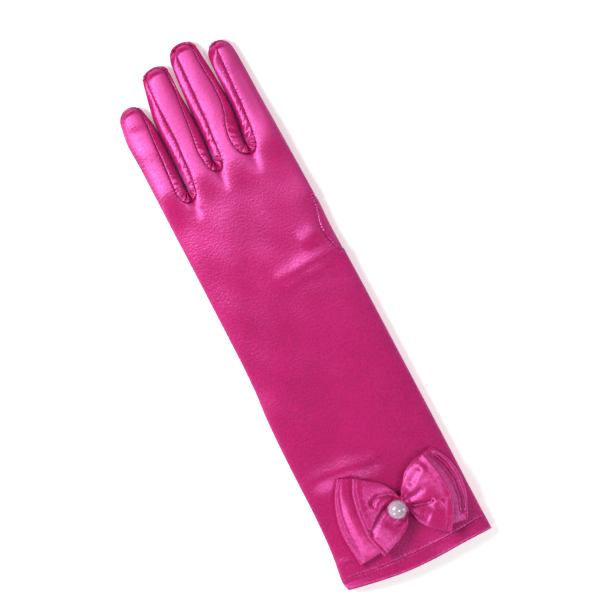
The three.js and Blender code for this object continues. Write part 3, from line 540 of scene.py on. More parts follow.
def nearest(points: Array, line: Array) -> tuple[Array, Array]:
    """Each point's distance from the nearest point of a dense line, and that point's number.

    Args:
        points: The points, in millimetres.
        line: The line's points.

    Returns:
        The distances and the numbers.
    """
    distance, where = np.empty(len(points)), np.empty(len(points), dtype=int)
    squares = (line**2).sum(1)
    for start in range(0, len(points), 4000):
        part = points[start : start + 4000]
        gap = (part**2).sum(1)[:, None] + squares - 2 * part @ line.T
        best = gap.argmin(1)
        distance[start : start + 4000] = np.sqrt(np.maximum(gap[np.arange(len(part)), best], 0))
        where[start : start + 4000] = best
    return distance, where


def run_along(line: Array) -> Array:
    """The length of a line of points up to each of them."""
    return np.concatenate([[0.0], np.cumsum(np.linalg.norm(np.diff(line, axis=0), axis=1))])


def resampled(line: Array, pitch: float, inset: float = 0.0) -> Array:
    """The points of a line at an even pitch along it, leaving an inset free at both ends."""
    run = run_along(line)
    places = np.arange(inset, run[-1] - inset, pitch)
    return np.stack([np.interp(places, run, line[:, axis]) for axis in range(3)], axis=1)


# ---------------------------------------------------------------- materials


class Nodes:
    """A short way to add and link shader nodes in one tree."""

    def __init__(self, tree: bpy.types.NodeTree) -> None:
        """Holds the tree."""
        self.tree = tree

    def add(self, kind: str, inputs: dict[str | int, object] | None = None, **settings: object) -> bpy.types.Node:
        """Adds one node, with its settings and its inputs' values or links."""
        node = self.tree.nodes.new(kind)
        for name, value in settings.items():
            setattr(node, name, value)
        for name, value in (inputs or {}).items():
            if isinstance(value, bpy.types.NodeSocket):
                self.tree.links.new(value, node.inputs[name])
            else:
                node.inputs[name].default_value = value
        return node

    def math(self, operation: str, *values: object) -> bpy.types.NodeSocket:
        """One step of arithmetic on numbers or sockets."""
        node = self.add("ShaderNodeMath", dict(enumerate(values)), operation=operation)
        return node.outputs[0]

    def noise(self, vector: bpy.types.NodeSocket, scale: float, detail: float, rough: float) -> bpy.types.NodeSocket:
        """A noise value at a scale."""
        inputs = {"Vector": vector, "Scale": scale, "Detail": detail, "Roughness": rough}
        return self.add("ShaderNodeTexNoise", inputs).outputs["Fac"]

    def ramp(self, value: bpy.types.NodeSocket, low: float, high: float, to_low: float, to_high: float):
        """Carries a value from one span to another, with smooth ends."""
        inputs = {"Value": value, "From Min": low, "From Max": high, "To Min": to_low, "To Max": to_high}
        node = self.add("ShaderNodeMapRange", inputs, interpolation_type="SMOOTHSTEP")
        return node.outputs["Result"]


def new_group(
    name: str, inputs: dict[str, tuple[str, object]], outputs: dict[str, str]
) -> tuple[Nodes, object, object]:
    """An empty shader node group with named sockets.

    Args:
        name: The group's name.
        inputs: Each input's socket type and default value.
        outputs: Each output's socket type.

    Returns:
        The tree's helper, its group input node and its group output node.
    """
    tree = bpy.data.node_groups.new(name, "ShaderNodeTree")
    for label, (kind, value) in inputs.items():
        socket = tree.interface.new_socket(label, in_out="INPUT", socket_type=kind)
        if value is not None:
            socket.default_value = value
    for label, kind in outputs.items():
        tree.interface.new_socket(label, in_out="OUTPUT", socket_type=kind)
    nodes = Nodes(tree)
    return nodes, nodes.add("NodeGroupInput"), nodes.add("NodeGroupOutput")


def satin_weave_group() -> bpy.types.NodeTree:
    """Satin's face: long floats of thread along the cloth, in fine ribs, and a soft mottle where they catch light."""
    nodes, given, out = new_group(
        "satin_weave",
        {"Cloth": ("NodeSocketVector", None), "Place": ("NodeSocketVector", None), "Ribs": ("NodeSocketFloat", 3.0),
         "Mottle": ("NodeSocketFloat", 1.0)},
        {"Height": "NodeSocketFloat", "Mottle": "NodeSocketFloat", "Patches": "NodeSocketFloat"},
    )
    long = nodes.add("ShaderNodeMapping", {"Vector": given.outputs["Cloth"], "Scale": (18.0, 130.0, 1.0)})
    threads = nodes.noise(long.outputs[0], 1.0, 3.0, 0.6)
    rows = nodes.add("ShaderNodeSeparateXYZ", {"Vector": given.outputs["Cloth"]})
    swing = nodes.math("MULTIPLY", threads, 0.6)
    ribs_in_radians = nodes.math("MULTIPLY", given.outputs["Ribs"], RIB_TURNS)
    rib_phase = nodes.math("ADD", nodes.math("MULTIPLY", rows.outputs["Y"], ribs_in_radians), swing)
    ribs = nodes.math("SINE", rib_phase)
    grain = nodes.noise(given.outputs["Place"], 850.0, 0.0, 0.5)
    height = nodes.math("ADD", nodes.math("MULTIPLY", ribs, 0.01), nodes.math("MULTIPLY", threads, 0.05))
    height = nodes.math("ADD", height, nodes.math("MULTIPLY", grain, 0.9))
    nodes.tree.links.new(height, out.inputs["Height"])
    mottle = nodes.noise(given.outputs["Place"], 1000.0, 1.0, 0.6)
    nodes.tree.links.new(nodes.math("MULTIPLY", mottle, given.outputs["Mottle"]), out.inputs["Mottle"])
    patches = nodes.noise(given.outputs["Place"], 45.0, 3.0, 0.6)
    nodes.tree.links.new(patches, out.inputs["Patches"])
    return nodes.tree


def seam_pull_group() -> bpy.types.NodeTree:
    """What a line of stitching does to cloth: a shallow trough beside the seam, short puckers that leave it, and a
    dashed painted shade along it.
    """
    nodes, given, out = new_group(
        "seam_pull",
        {"Distance": ("NodeSocketFloat", 50.0), "Run": ("NodeSocketFloat", 0.0), "Pitch": ("NodeSocketFloat", 2.2),
         "Reach": ("NodeSocketFloat", 2.4)},
        {"Height": "NodeSocketFloat", "Shade": "NodeSocketFloat"},
    )
    reach = nodes.ramp(nodes.math("DIVIDE", given.outputs["Distance"], given.outputs["Reach"]), 0.0, 1.0, 1.0, 0.0)
    phase = nodes.math("MULTIPLY", nodes.math("DIVIDE", given.outputs["Run"], given.outputs["Pitch"]), 2 * math.pi)
    uneven = nodes.add("ShaderNodeCombineXYZ", {"X": given.outputs["Run"]})
    drift = nodes.noise(uneven.outputs[0], 0.25, 2.0, 0.5)
    wave = nodes.math("SINE", nodes.math("ADD", phase, nodes.math("MULTIPLY", drift, 14.0)))
    strength = nodes.ramp(nodes.noise(uneven.outputs[0], 0.11, 2.0, 0.5), 0.35, 0.7, 0.15, 1.0)
    pucker = nodes.math("MULTIPLY", nodes.math("MULTIPLY", wave, reach), strength)
    nodes.tree.links.new(pucker, out.inputs["Height"])
    # Painted shade: dark near the seam line, in dashes at the stitch pitch.
    dash = nodes.math("SINE", nodes.math("MULTIPLY", given.outputs["Run"], 2 * math.pi / DASH_PITCH))
    dashed = nodes.math("MULTIPLY_ADD", dash, 0.4, 0.6)
    near = nodes.ramp(given.outputs["Distance"], 0.2, 0.85, 1.0, 0.0)
    shade = nodes.math("MULTIPLY", near, dashed)
    nodes.tree.links.new(shade, out.inputs["Shade"])
    return nodes.tree


@dataclass(frozen=True)
class SatinFinish:
    """Glossy dyed satin: its colours, gloss and how strongly its weave and seams show, with painted shade along its
    seams and in crevices.
    """

    name: str
    deep: tuple[float, float, float]
    bright: tuple[float, float, float]
    shade: tuple[float, float, float]
    gloss_tint: tuple[float, float, float]
    # Colour of the painted shade in crevices: deep between the fingers and in the bow's sunk folds.
    crevice_shade_colour: tuple[float, float, float] = (0.05, 0.0, 0.008)
    roughness: float = 0.42
    specular: float = 1.0
    index: float = 1.9
    anisotropy: float = 0.93
    weave_bump: float = 0.16
    pucker_bump: float = 0.18
    seam_painted_shade: float = 0.85
    crevice_shade_amount: float = 0.9
    sheen: float = 0.12
    seams: bool = True

    def material(self, weave: bpy.types.NodeTree, pull: bpy.types.NodeTree) -> bpy.types.Material:
        """Builds the satin's material.

        Args:
            weave: The satin weave group.
            pull: The seam pull group.

        Returns:
            The material.
        """
        made = bpy.data.materials.new(self.name)
        made.use_nodes = True
        made.node_tree.nodes.clear()
        nodes = Nodes(made.node_tree)
        place = nodes.add("ShaderNodeTexCoord").outputs["Object"]
        cloth = nodes.add("ShaderNodeUVMap", uv_map="cloth").outputs[0]
        woven = nodes.add("ShaderNodeGroup", node_tree=weave)
        made.node_tree.links.new(cloth, woven.inputs["Cloth"])
        made.node_tree.links.new(place, woven.inputs["Place"])
        light = nodes.math("ADD", nodes.math("MULTIPLY", woven.outputs["Mottle"], 0.7),
                           nodes.math("MULTIPLY", woven.outputs["Patches"], 0.3))
        spread = nodes.ramp(light, 0.32, 0.68, 0.0, 1.0)
        colour = nodes.add("ShaderNodeMix", {0: spread, 6: (*self.deep, 1), 7: (*self.bright, 1)}, data_type="RGBA")
        rough = nodes.ramp(woven.outputs["Mottle"], 0.3, 0.7, self.roughness + 0.05, self.roughness - 0.05)
        bump = nodes.add("ShaderNodeBump", {"Strength": self.weave_bump, "Distance": 0.0004,
                                            "Height": woven.outputs["Height"]})
        base = colour.outputs[2]
        normal = bump.outputs[0]
        if self.seams:
            away = nodes.add("ShaderNodeAttribute", attribute_name="seam_away").outputs["Fac"]
            run = nodes.add("ShaderNodeAttribute", attribute_name="seam_run").outputs["Fac"]
            drawn = nodes.add("ShaderNodeGroup", node_tree=pull)
            made.node_tree.links.new(away, drawn.inputs["Distance"])
            made.node_tree.links.new(run, drawn.inputs["Run"])
            pulled = nodes.add("ShaderNodeBump", {"Strength": self.pucker_bump, "Distance": 0.0006,
                                                  "Height": drawn.outputs["Height"], "Normal": normal})
            normal = pulled.outputs[0]
            # Painted shade along each seam's trough, in dashes at the stitch pitch that also stand for the darker
            # thread.
            dark = nodes.math("MULTIPLY", drawn.outputs["Shade"], self.seam_painted_shade)
            shaded = nodes.add("ShaderNodeMix", {0: dark, 6: base, 7: (*self.shade, 1)}, data_type="RGBA")
            base = shaded.outputs[2]
        # Painted shade: the crevice mark mixes the colour towards a near-black deep between the fingers and in the
        # bow's sunk folds.
        gap = nodes.add("ShaderNodeAttribute", attribute_name="painted_crevice_shade").outputs["Fac"]
        crevice_shaded = nodes.add("ShaderNodeMix", {0: nodes.math("MULTIPLY", gap, self.crevice_shade_amount), 6: base, 7: (*self.crevice_shade_colour, 1)},
                           data_type="RGBA")
        base = crevice_shaded.outputs[2]
        tangent = nodes.add("ShaderNodeTangent", direction_type="UV_MAP", uv_map="cloth")
        shader = nodes.add("ShaderNodeBsdfPrincipled", {
            "Base Color": base, "Roughness": rough, "Normal": normal, "Tangent": tangent.outputs[0],
            "Specular IOR Level": self.specular, "Specular Tint": (*self.gloss_tint, 1), "IOR": self.index,
            "Anisotropic": self.anisotropy, "Sheen Weight": self.sheen, "Sheen Roughness": 0.45,
            "Sheen Tint": (*self.gloss_tint, 1),
        })
        result = nodes.add("ShaderNodeOutputMaterial")
        made.node_tree.links.new(shader.outputs[0], result.inputs["Surface"])
        return made


@dataclass(frozen=True)
class PearlFinish:
    """A lustrous imitation pearl: a pale body under a clear coat, with faint cloudy layers."""

    name: str = "pearl_lustre"
    body: tuple[float, float, float] = (0.42, 0.29, 0.39)
    cloud: tuple[float, float, float] = (0.50, 0.37, 0.47)
    roughness: float = 0.28

    def material(self) -> bpy.types.Material:
        """Builds the pearl's material."""
        made = bpy.data.materials.new(self.name)
        made.use_nodes = True
        made.node_tree.nodes.clear()
        nodes = Nodes(made.node_tree)
        place = nodes.add("ShaderNodeTexCoord").outputs["Object"]
        clouds = nodes.ramp(nodes.noise(place, 260.0, 3.0, 0.5), 0.35, 0.7, 0.0, 1.0)
        colour = nodes.add("ShaderNodeMix", {0: clouds, 6: (*self.body, 1), 7: (*self.cloud, 1)}, data_type="RGBA")
        grain = nodes.add("ShaderNodeBump", {"Strength": 0.05, "Distance": 0.0002,
                                             "Height": nodes.noise(place, 1800.0, 2.0, 0.5)})
        shader = nodes.add("ShaderNodeBsdfPrincipled", {
            "Base Color": colour.outputs[2], "Roughness": self.roughness, "Normal": grain.outputs[0],
            "Specular IOR Level": 0.8, "Coat Weight": 1.0, "Coat Roughness": 0.05, "Coat IOR": 1.6,
            "Subsurface Weight": 0.15, "Subsurface Scale": 0.002,
        })
        result = nodes.add("ShaderNodeOutputMaterial")
        made.node_tree.links.new(shader.outputs[0], result.inputs["Surface"])
        return made


@dataclass(frozen=True)
class ThreadFinish:
    """Sewing thread dyed to the satin, a little darker and duller than it."""

    name: str = "sewing_thread"
    colour: tuple[float, float, float] = (0.15, 0.002, 0.026)
    lit: tuple[float, float, float] = (0.26, 0.006, 0.060)

    def material(self) -> bpy.types.Material:
        """Builds the thread's material, with its twist as a fine bump."""
        made = bpy.data.materials.new(self.name)
        made.use_nodes = True
        made.node_tree.nodes.clear()
        nodes = Nodes(made.node_tree)
        place = nodes.add("ShaderNodeTexCoord").outputs["Object"]
        twist = nodes.noise(place, 2600.0, 2.0, 0.5)
        colour = nodes.add("ShaderNodeMix", {0: nodes.ramp(twist, 0.35, 0.65, 0.0, 1.0), 6: (*self.colour, 1),
                                             7: (*self.lit, 1)}, data_type="RGBA")
        bump = nodes.add("ShaderNodeBump", {"Strength": 0.3, "Distance": 0.0001, "Height": twist})
        shader = nodes.add("ShaderNodeBsdfPrincipled", {
            "Base Color": colour.outputs[2], "Roughness": 0.6, "Normal": bump.outputs[0], "Specular IOR Level": 0.2,
        })
        result = nodes.add("ShaderNodeOutputMaterial")
        made.node_tree.links.new(shader.outputs[0], result.inputs["Surface"])
        return made


# ---------------------------------------------------------------- cloth pieces


class Face(Enum):
    """The two faces of the lying glove, by their place among the form's heights."""

    BACK = 1
    PALM = 2


@dataclass
class SewnLine:
    """One line of stitching: its points, the glove's outward normals there, and how deep it draws the cloth in."""

    points: Array
    normals: Array
    dip: float


class SeamLines:
    """Every sewn line of the glove as one dense row of points, for marks, dips and stitches."""

    def __init__(self, lines: Sequence[SewnLine]) -> None:
        """Resamples the lines to 0.4 mm and runs them on one after the other."""
        self.lines = lines
        dense = [resampled(line.points, 0.4) for line in lines]
        starts = np.cumsum([0.0] + [run_along(points)[-1] + 20 for points in dense[:-1]])
        self.points = np.concatenate(dense)
        self.run = np.concatenate([run_along(points) + start for points, start in zip(dense, starts)])
        self.dip = np.concatenate([np.full(len(points), line.dip) for points, line in zip(dense, lines)])

    def draw_in(self, sheet: Sheet, height_share: float, width: float = 0.7) -> dict[str, Array]:
        """Dips a sheet along the lines, by a bell of each point's distance, and says how near each point is.

        Args:
            sheet: The sheet, which is changed.
            height_share: How much heights count in a distance, less than 1 where folds lift the cloth off its line.
            width: The trough's width, in millimetres.

        Returns:
            The marks that the satin reads: the distance from the nearest line, and the run along it.
        """
        scale = np.array([1.0, 1.0, height_share])
        away, which = nearest(sheet.points * scale, self.points * scale)
        sheet.points -= sheet.normals() * (self.dip[which] * bell(away, width))[:, None]
        return {"seam_away": away, "seam_run": self.run[which]}

    def stitches(self, pitch: float, sink: float) -> tuple[Array, Array, Array]:
        """Places, directions and normals of the stitches along every line, at an even pitch."""
        parts = []
        for line in self.lines:
            run = run_along(line.points)
            at = np.arange(pitch, run[-1] - pitch, pitch)
            points = np.stack([np.interp(at, run, line.points[:, axis]) for axis in range(3)], axis=1)
            ahead = np.stack([np.interp(at + 0.3, run, line.points[:, axis]) for axis in range(3)], axis=1)
            normals = np.stack([np.interp(at, run, line.normals[:, axis]) for axis in range(3)], axis=1)
            normals /= np.linalg.norm(normals, axis=1, keepdims=True)
            parts.append((points - normals * sink * line.dip, ahead - points, normals))
        return tuple(np.concatenate(part) for part in zip(*parts))


def line_on_glove(form: GloveForm, plan: Array, finger: Finger | None, face: Face, dip: float) -> SewnLine:
    """Lays a plan line on the glove, with normals from the slope of its height half a millimetre each way.

    Args:
        form: The glove's form.
        plan: The line's x and y.
        finger: The finger that it is on, or none on the sleeve and palm.
        face: The back or the palm side.
        dip: How deep the stitches draw the cloth in.

    Returns:
        The line.
    """
    x, y = plan[:, 0], plan[:, 1]
    sign = 1.0 if face is Face.BACK else -1.0

    def level(dx: float, dy: float) -> Array:
        """The height beside the line."""
        return form.heights(x + dx, y + dy, finger)[face.value]

    slope_x, slope_y = level(0.5, 0) - level(-0.5, 0), level(0, 0.5) - level(0, -0.5)
    tilt_x, tilt_y = (-np.clip(slope, -STEEPEST, STEEPEST) * sign for slope in (slope_x, slope_y))
    normal = np.stack([tilt_x, tilt_y, np.full(len(x), sign)], axis=1)
    points = np.stack([x, y, level(0, 0)], axis=1)
    return SewnLine(points, normal / np.linalg.norm(normal, axis=1, keepdims=True), dip)


@dataclass(frozen=True)
class Lane:
    """A lane of the trank from the cuff up: to a fingertip, or to the foot of a slit."""

    columns: Array
    finger: Finger | None = None
    slit: Slit | None = None
    before: Slit | None = None
    after: Slit | None = None
    inner: bool = False
    outer: bool = False


@dataclass
class Trank:
    """The one big piece of satin: sleeve, palm and back, and the fronts and backs of the fingers."""

    form: GloveForm
    wall: float = 0.55
    sleeve_steps: tuple[int, int, int] = (84, 22, 26)
    finger_steps: int = 60
    hem_band: tuple[float, float] = (5.8, 9.4)
    lip: float = 1.3
    lip_drop: float = 0.9
    hem_rise: float = 0.16

    def __post_init__(self) -> None:
        """Keeps the hem's stitched line as a column across the cuff."""
        self.hem_line = Column(*zip(*HEM_STITCHES))

    def lanes(self) -> list[Lane]:
        """The lanes across the hand, little finger first."""
        ring_little, middle_ring, index_middle = SLITS
        quarter = 1 - np.cos(even(18) * math.pi / 2)
        return [
            Lane(quarter, finger=LITTLE, after=ring_little),
            Lane(turned(even(18)), slit=ring_little),
            Lane(even(14), finger=RING, before=ring_little, after=middle_ring),
            Lane(turned(even(18)), slit=middle_ring),
            Lane(even(14), finger=MIDDLE, before=middle_ring, after=index_middle),
            Lane(turned(even(18)), slit=index_middle),
            Lane(even(12), finger=INDEX, before=index_middle, inner=True),
            Lane(np.sin(even(8) * math.pi / 2), finger=INDEX, before=index_middle, outer=True),
        ]

    def levels(self) -> Array:
        """The sleeve's rows, with one at each end of the thumb's hole."""
        form = self.form
        low, hole, high = self.sleeve_steps
        return np.concatenate([
            form.cuff_level + self.lip * (1 - np.cos(even(6)[:-1] * math.pi / 2)),
            form.cuff_level + np.linspace(self.lip, self.hem_band[0], 5, endpoint=False),
            form.cuff_level + np.linspace(*self.hem_band, 13, endpoint=False),
            np.linspace(form.cuff_level + self.hem_band[1], form.hole_low, low, endpoint=False),
            np.linspace(form.hole_low, form.hole_high, hole, endpoint=False),
            np.linspace(form.hole_high, form.foot_level, high + 1),
        ])

    def side(self, lane: Lane, right: bool, y: Array, back: bool) -> Array:
        """The x of one side of a finger's lane at y.

        It is a seam above the slit's wall, and keeps its share of the palm's width below.
        """
        form = self.form
        if lane.finger is INDEX and ((right and lane.inner) or (not right and lane.outer)):
            return form.right_edge(y) - form.thumb_seam(y, back)
        slit = lane.after if right else lane.before
        if slit is None:
            return form.right_edge(y) if right else form.left_edge(y)
        seam = lane.finger.seam_right if right else lane.finger.seam_left
        carried = form.at_wall(seam(slit.wall_y), slit.wall_y, y)
        return np.where(y >= slit.wall_y, seam(np.maximum(y, slit.wall_y)), carried)

    def surface(self, lane: Lane, x: Array, y: Array, back: bool) -> Array:
        """The points of the cloth's outer side over a lane's plan.

        On the back, the band below the hem's stitches stands a little proud, ripples, and rolls down at the cuff.
        """
        if lane.slit is None:
            edge, top, bottom = self.form.heights(x, y, lane.finger)
        else:
            outer = self.form.heights(x, y, lane.slit.outer)
            inner = self.form.heights(x, y, lane.slit.inner)
            over = smooth((lane.columns - 0.2) / 0.6)
            edge, top, bottom = (mix(a, b, over) for a, b in zip(outer, inner))
        over_hem = y - self.hem_line(x)
        ripple = 0.08 * np.sin(x * 2.3 + 1.7 * np.sin(x * 0.37)) * bell(over_hem + 1.6, 1.7)
        hem = self.hem_rise * (1 - smooth((over_hem + 2.6) / 2.4)) + ripple
        turn = clamp01(1 - (y - self.form.cuff_line(x)) / self.lip)
        hem = hem - self.lip_drop * (1 - np.sqrt(1 - np.minimum(turn, 0.999) ** 2))
        if back:
            z = top + hem * clamp01((top - edge) / 3.0)
        else:
            full = clamp01((edge - bottom) / 3.0)
            calm = 0.12 + 0.1 * self.form.wobble(x + 200, y)
            z = bottom + np.maximum(calm, 0) * full
        return np.stack([x, y, z], axis=-1)

    def grids(self, lane: Lane, back: bool) -> list[Grid]:
        """One lane on one face of the glove: its sleeve part, and its finger part where it has one."""
        form, share = self.form, lane.columns
        levels = self.levels()[:, None]
        first_wall = (lane.before or lane.after or SLITS[0]).wall_y
        last_wall = (lane.after or lane.before or SLITS[-1]).wall_y
        if lane.slit is not None:
            foot_x, foot_y = lane.slit.foot(share)

            def x_at(y: Array) -> Array:
                """The lane's columns carried to y."""
                return form.at_wall(foot_x, lane.slit.wall_y, y)
        else:
            foot_y = mix(first_wall, last_wall, share)

            def x_at(y: Array) -> Array:
                """The lane's columns between its two sides at y."""
                return mix(self.side(lane, False, y, back), self.side(lane, True, y, back), share)

        cuff_x = x_at(np.full(share.shape, form.cuff_level))
        y = form.row_level(levels, cuff_x, foot_y)
        x = x_at(y)
        if lane.slit is not None:
            x = x + (foot_x - x[-1]) * smooth((y - 60) / (foot_y - 60))
        points = self.surface(lane, x, y, back)
        fold_column = 0 if lane.finger is LITTLE else (len(share) - 1 if lane.outer else None)
        self.close_fold(points, lane, fold_column)
        keep = None
        if lane.outer:
            row = self.levels()[:-1]
            in_hole = (row >= form.hole_low - 1e-6) & (row < form.hole_high - 1e-6)
            keep = np.repeat(~in_hole[:, None], len(share) - 1, axis=1)
        grids = [Grid(points, np.stack([x, y], axis=-1), keep, flip=not back)]
        if lane.finger is not None:
            end = lane.finger.end(lane.finger.across(x_at(np.full(share.shape, lane.finger.tip)), lane.finger.tip))
            step = 1 - (1 - even(self.finger_steps)[:, None]) ** 1.7
            y = mix(y[-1], end, step)
            x = x_at(y)
            points = self.surface(lane, x, y, back)
            points[0] = grids[0].points[-1]
            points[-1, :, 2] = form.heights(x[-1], y[-1], lane.finger)[0]
            self.close_fold(points, lane, fold_column)
            grids.append(Grid(points, np.stack([x, y], axis=-1), None, flip=not back))
        return grids

    def close_fold(self, points: Array, lane: Lane, column: int | None) -> None:
        """Brings the glove's outer edge to its side height, where the back turns into the palm."""
        if column is not None:
            x, y = points[:, column, 0], points[:, column, 1]
            points[:, column, 2] = self.form.heights(x, y, lane.finger)[0]

    def build(self, lines: "SeamLines") -> bpy.types.Object:
        """Makes the trank, dips its sewn edges and marks how far each point is from a seam."""
        grids = [grid for back in (True, False) for lane in self.lanes() for grid in self.grids(lane, back)]
        sheet = Sheet.sewn(grids)
        piece = make_piece("trank_satin", sheet, lines.draw_in(sheet, 0.35))
        give_wall(piece, self.wall)
        return piece


@dataclass
class Fourchette:
    """The narrow strip sewn between two fingers: down one finger's side, round the crotch and up the next."""

    form: GloveForm
    slit: Slit
    wall: float = 0.5
    side_steps: int = 64
    foot_steps: int = 28
    section_steps: int = 18
    seam_gap: float = 0.03
    seam_dip: float = 0.28
    round_share: float = 0.16
    closed_gap: float = 0.02
    open_from: float = 122.0
    channel: float = 0.75
    side_power: float = 4.0
    gap_reach: float = 1.15

    def side(self, finger: Finger, right: bool) -> tuple[Array, Array, Array]:
        """The seam's and the deep line's plan points on one finger, from its tip down, and where the seam is across.

        The deep line goes round the fingertip first, and then down the silhouette to the crotch.
        """
        seam = finger.seam_right if right else finger.seam_left
        sign = 1.0 if right else -1.0
        seam_across = float(finger.across(seam(finger.tip), finger.tip))
        f = even(self.side_steps)[:-1]
        seam_y = mix(self.slit.wall_y, float(finger.end(seam_across)), 1 - f**1.7)
        turn = clamp01(f / self.round_share)
        across = mix(seam_across, sign, np.sin(turn * math.pi / 2) ** 0.8)
        low = finger.tip - finger.round
        straight = mix(low, self.slit.crotch_y, (f - self.round_share) / (1 - self.round_share))
        deep_y = np.where(f < self.round_share, finger.end(across), straight)
        left, right_x = finger.left(deep_y), finger.right(deep_y)
        deep_x = (left + right_x) / 2 + (right_x - left) / 2 * np.where(f < self.round_share, across, sign)
        spare = np.maximum(self.slit.inner.left(deep_y) - self.slit.outer.right(deep_y) - self.closed_gap, 0) / 2
        deep_x = deep_x + sign * spare * (1 - smooth((deep_y - self.open_from) / 14))
        seam_x = seam(seam_y)
        return (
            np.stack([seam_x, seam_y], axis=-1),
            np.stack([deep_x, deep_y], axis=-1),
            np.abs(finger.across(seam_x, seam_y)),
        )

    def stations(self) -> tuple[Array, Array, Array, Array]:
        """The whole strip's seam line, deep line, across value at the seam, and which finger is nearest (0 or 1)."""
        slit = self.slit
        down, deep_down, a_down = self.side(slit.outer, True)
        up, deep_up, a_up = (part[::-1] for part in self.side(slit.inner, False))
        t = even(self.foot_steps)
        foot = np.stack(slit.foot(turned(t)), axis=-1)
        left, right = float(slit.outer.right(slit.crotch_y)), float(slit.inner.left(slit.crotch_y))
        half = min(self.closed_gap, right - left) / 2
        deep = np.stack([(left + right) / 2 - half * np.cos(t * math.pi),
                         slit.crotch_y - half * np.sin(t * math.pi)], axis=-1)
        a_foot = mix(a_down[-1], a_up[0], t)
        seam = np.concatenate([down, foot, up])
        return (
            seam,
            np.concatenate([deep_down, deep, deep_up]),
            np.concatenate([a_down, a_foot, a_up]),
            np.concatenate([np.zeros(len(down)), (t >= 0.5).astype(float), np.ones(len(up))]),
        )

    def section_grid(self) -> Grid:
        """The strip's surface: across it from the seam on the back, round the side, to the seam on the palm.

        Between the seam and the deep line the height follows the finger's own round section, so that the strip
        and the trank make one tube.
        """
        form, slit = self.form, self.slit
        seam, deep, start_across, which = self.stations()
        tangent = np.gradient(seam, axis=0)
        away = np.stack([-tangent[:, 1], tangent[:, 0]], axis=-1)
        away /= np.maximum(np.linalg.norm(away, axis=1, keepdims=True), 1e-9)
        levels = []
        for finger in (slit.outer, slit.inner):
            levels.append(tuple(form.heights(line[:, 0], line[:, 1], finger) for line in (seam, deep)))
        first = which < 0.5
        top = np.where(first, levels[0][0][1], levels[1][0][1])
        bottom = np.where(first, levels[0][0][2], levels[1][0][2])
        edge = np.where(first, levels[0][1][0], levels[1][1][0])
        wide = np.hypot(*(deep - seam).T)
        seam_in = seam + away * self.seam_gap
        deep_in = deep + away * (self.seam_gap * (1 - clamp01(wide / 2)))[:, None]
        u = even(self.section_steps)
        theta = u * math.pi / 2
        share = np.sin(theta)
        shut = 1 - smooth((deep[:, 1] - self.open_from) / 14)
        pulled = smooth((u - 0.3) / 0.3) * (1 - smooth((u - 0.84) / 0.16))
        pull = self.channel * shut[:, None] * pulled * clamp01(wide / 3)[:, None]
        inwards = (seam_in - deep_in) / np.maximum(wide, 0.05)[:, None]
        a = np.clip(start_across, 0.05, 0.9)
        half_sections = []
        for level, channel in ((top, pull), (bottom, 0 * pull)):
            power = self.side_power if level is top else 2.3
            drop = rounded(mix(a[:, None], 1.0, share), power) / rounded(a, power)[:, None]
            plan = mix(seam_in[:, None, :], deep_in[:, None, :], share[:, None])
            plan = plan + inwards[:, None, :] * channel[..., None]
            z = mix(edge[:, None], level[:, None], drop)
            half_sections.append(np.concatenate([plan, z[..., None]], axis=-1))
        points = np.concatenate([half_sections[0], half_sections[1][:, ::-1][:, 1:]], axis=1)
        points = self.puckered(points, seam, theta)
        closed = wide < 0.05
        tip = np.concatenate([seam_in, edge[:, None]], axis=-1)
        points[closed] = tip[closed][:, None, :]
        run = run_along(np.concatenate([seam, np.zeros((len(seam), 1))], axis=1))
        around = np.concatenate([[0], np.cumsum(np.linalg.norm(np.diff(points, axis=1), axis=2).mean(0))])
        cloth = np.stack(np.broadcast_arrays(around[None, :] + 60, run[:, None]), axis=-1)
        return Grid(points, cloth, None, flip=True)

    def puckered(self, points: Array, seam: Array, theta: Array) -> Array:
        """Gathers the strip round its foot: short waves across it, strongest at the crotch, none at the seam."""
        run = np.linspace(-1, 1, len(points))
        near_foot = bell(run, 0.22)
        span = np.concatenate([np.sin(theta), np.sin(theta)[::-1][1:]])
        at = run_along(np.concatenate([seam, np.zeros((len(seam), 1))], axis=1))
        wave = np.sin(at * 2 * math.pi / 4.4 + 1.8 * np.sin(at * 0.31)) + 0.5 * np.sin(at * 2 * math.pi / 2.7 + 1.0)
        amount = 1.1 * near_foot * wave
        lifted = points.copy()
        half = len(theta)
        side = np.where(np.arange(points.shape[1]) < half, 1.0, -1.0)
        lifted[..., 2] += amount[:, None] * (span * (1 - span) * 4)[None, :] * side[None, :]
        lifted[..., 2] = np.maximum(lifted[..., 2], 0.02)
        return lifted

    def seam_lines(self) -> list[SewnLine]:
        """The strip's seam on the back and on the palm, as lines on the glove's surface."""
        seam, _, _, which = self.stations()
        lines = []
        for face in (Face.BACK, Face.PALM):
            outer = line_on_glove(self.form, seam, self.slit.outer, face, self.seam_dip)
            inner = line_on_glove(self.form, seam, self.slit.inner, face, self.seam_dip)
            first = (which < 0.5)[:, None]
            lines.append(SewnLine(np.where(first, outer.points, inner.points),
                                  np.where(first, outer.normals, inner.normals), self.seam_dip))
        return lines

    def build(self, lines: "SeamLines") -> bpy.types.Object:
        """Makes the strip, with its sewn edges dipped, and marks for the seams and for the painted shade deep in the
        gap between the fingers.
        """
        sheet = Sheet.sewn([self.section_grid()])
        marks = lines.draw_in(sheet, 1.0)
        deep = self.stations()[1]
        flat = sheet.points * (1.0, 1.0, 0.0)
        away, _ = nearest(flat, np.concatenate([deep, np.zeros((len(deep), 1))], axis=1))
        # Painted shade deep in the gap between the fingers, gone where the fingers part.
        marks["painted_crevice_shade"] = clamp01(1.25 - away / self.gap_reach) * (1 - smooth((flat[:, 1] - self.open_from) / 14))
        piece = make_piece(f"strip_{self.slit.name}", sheet, marks)
        give_wall(piece, self.wall)
        return piece


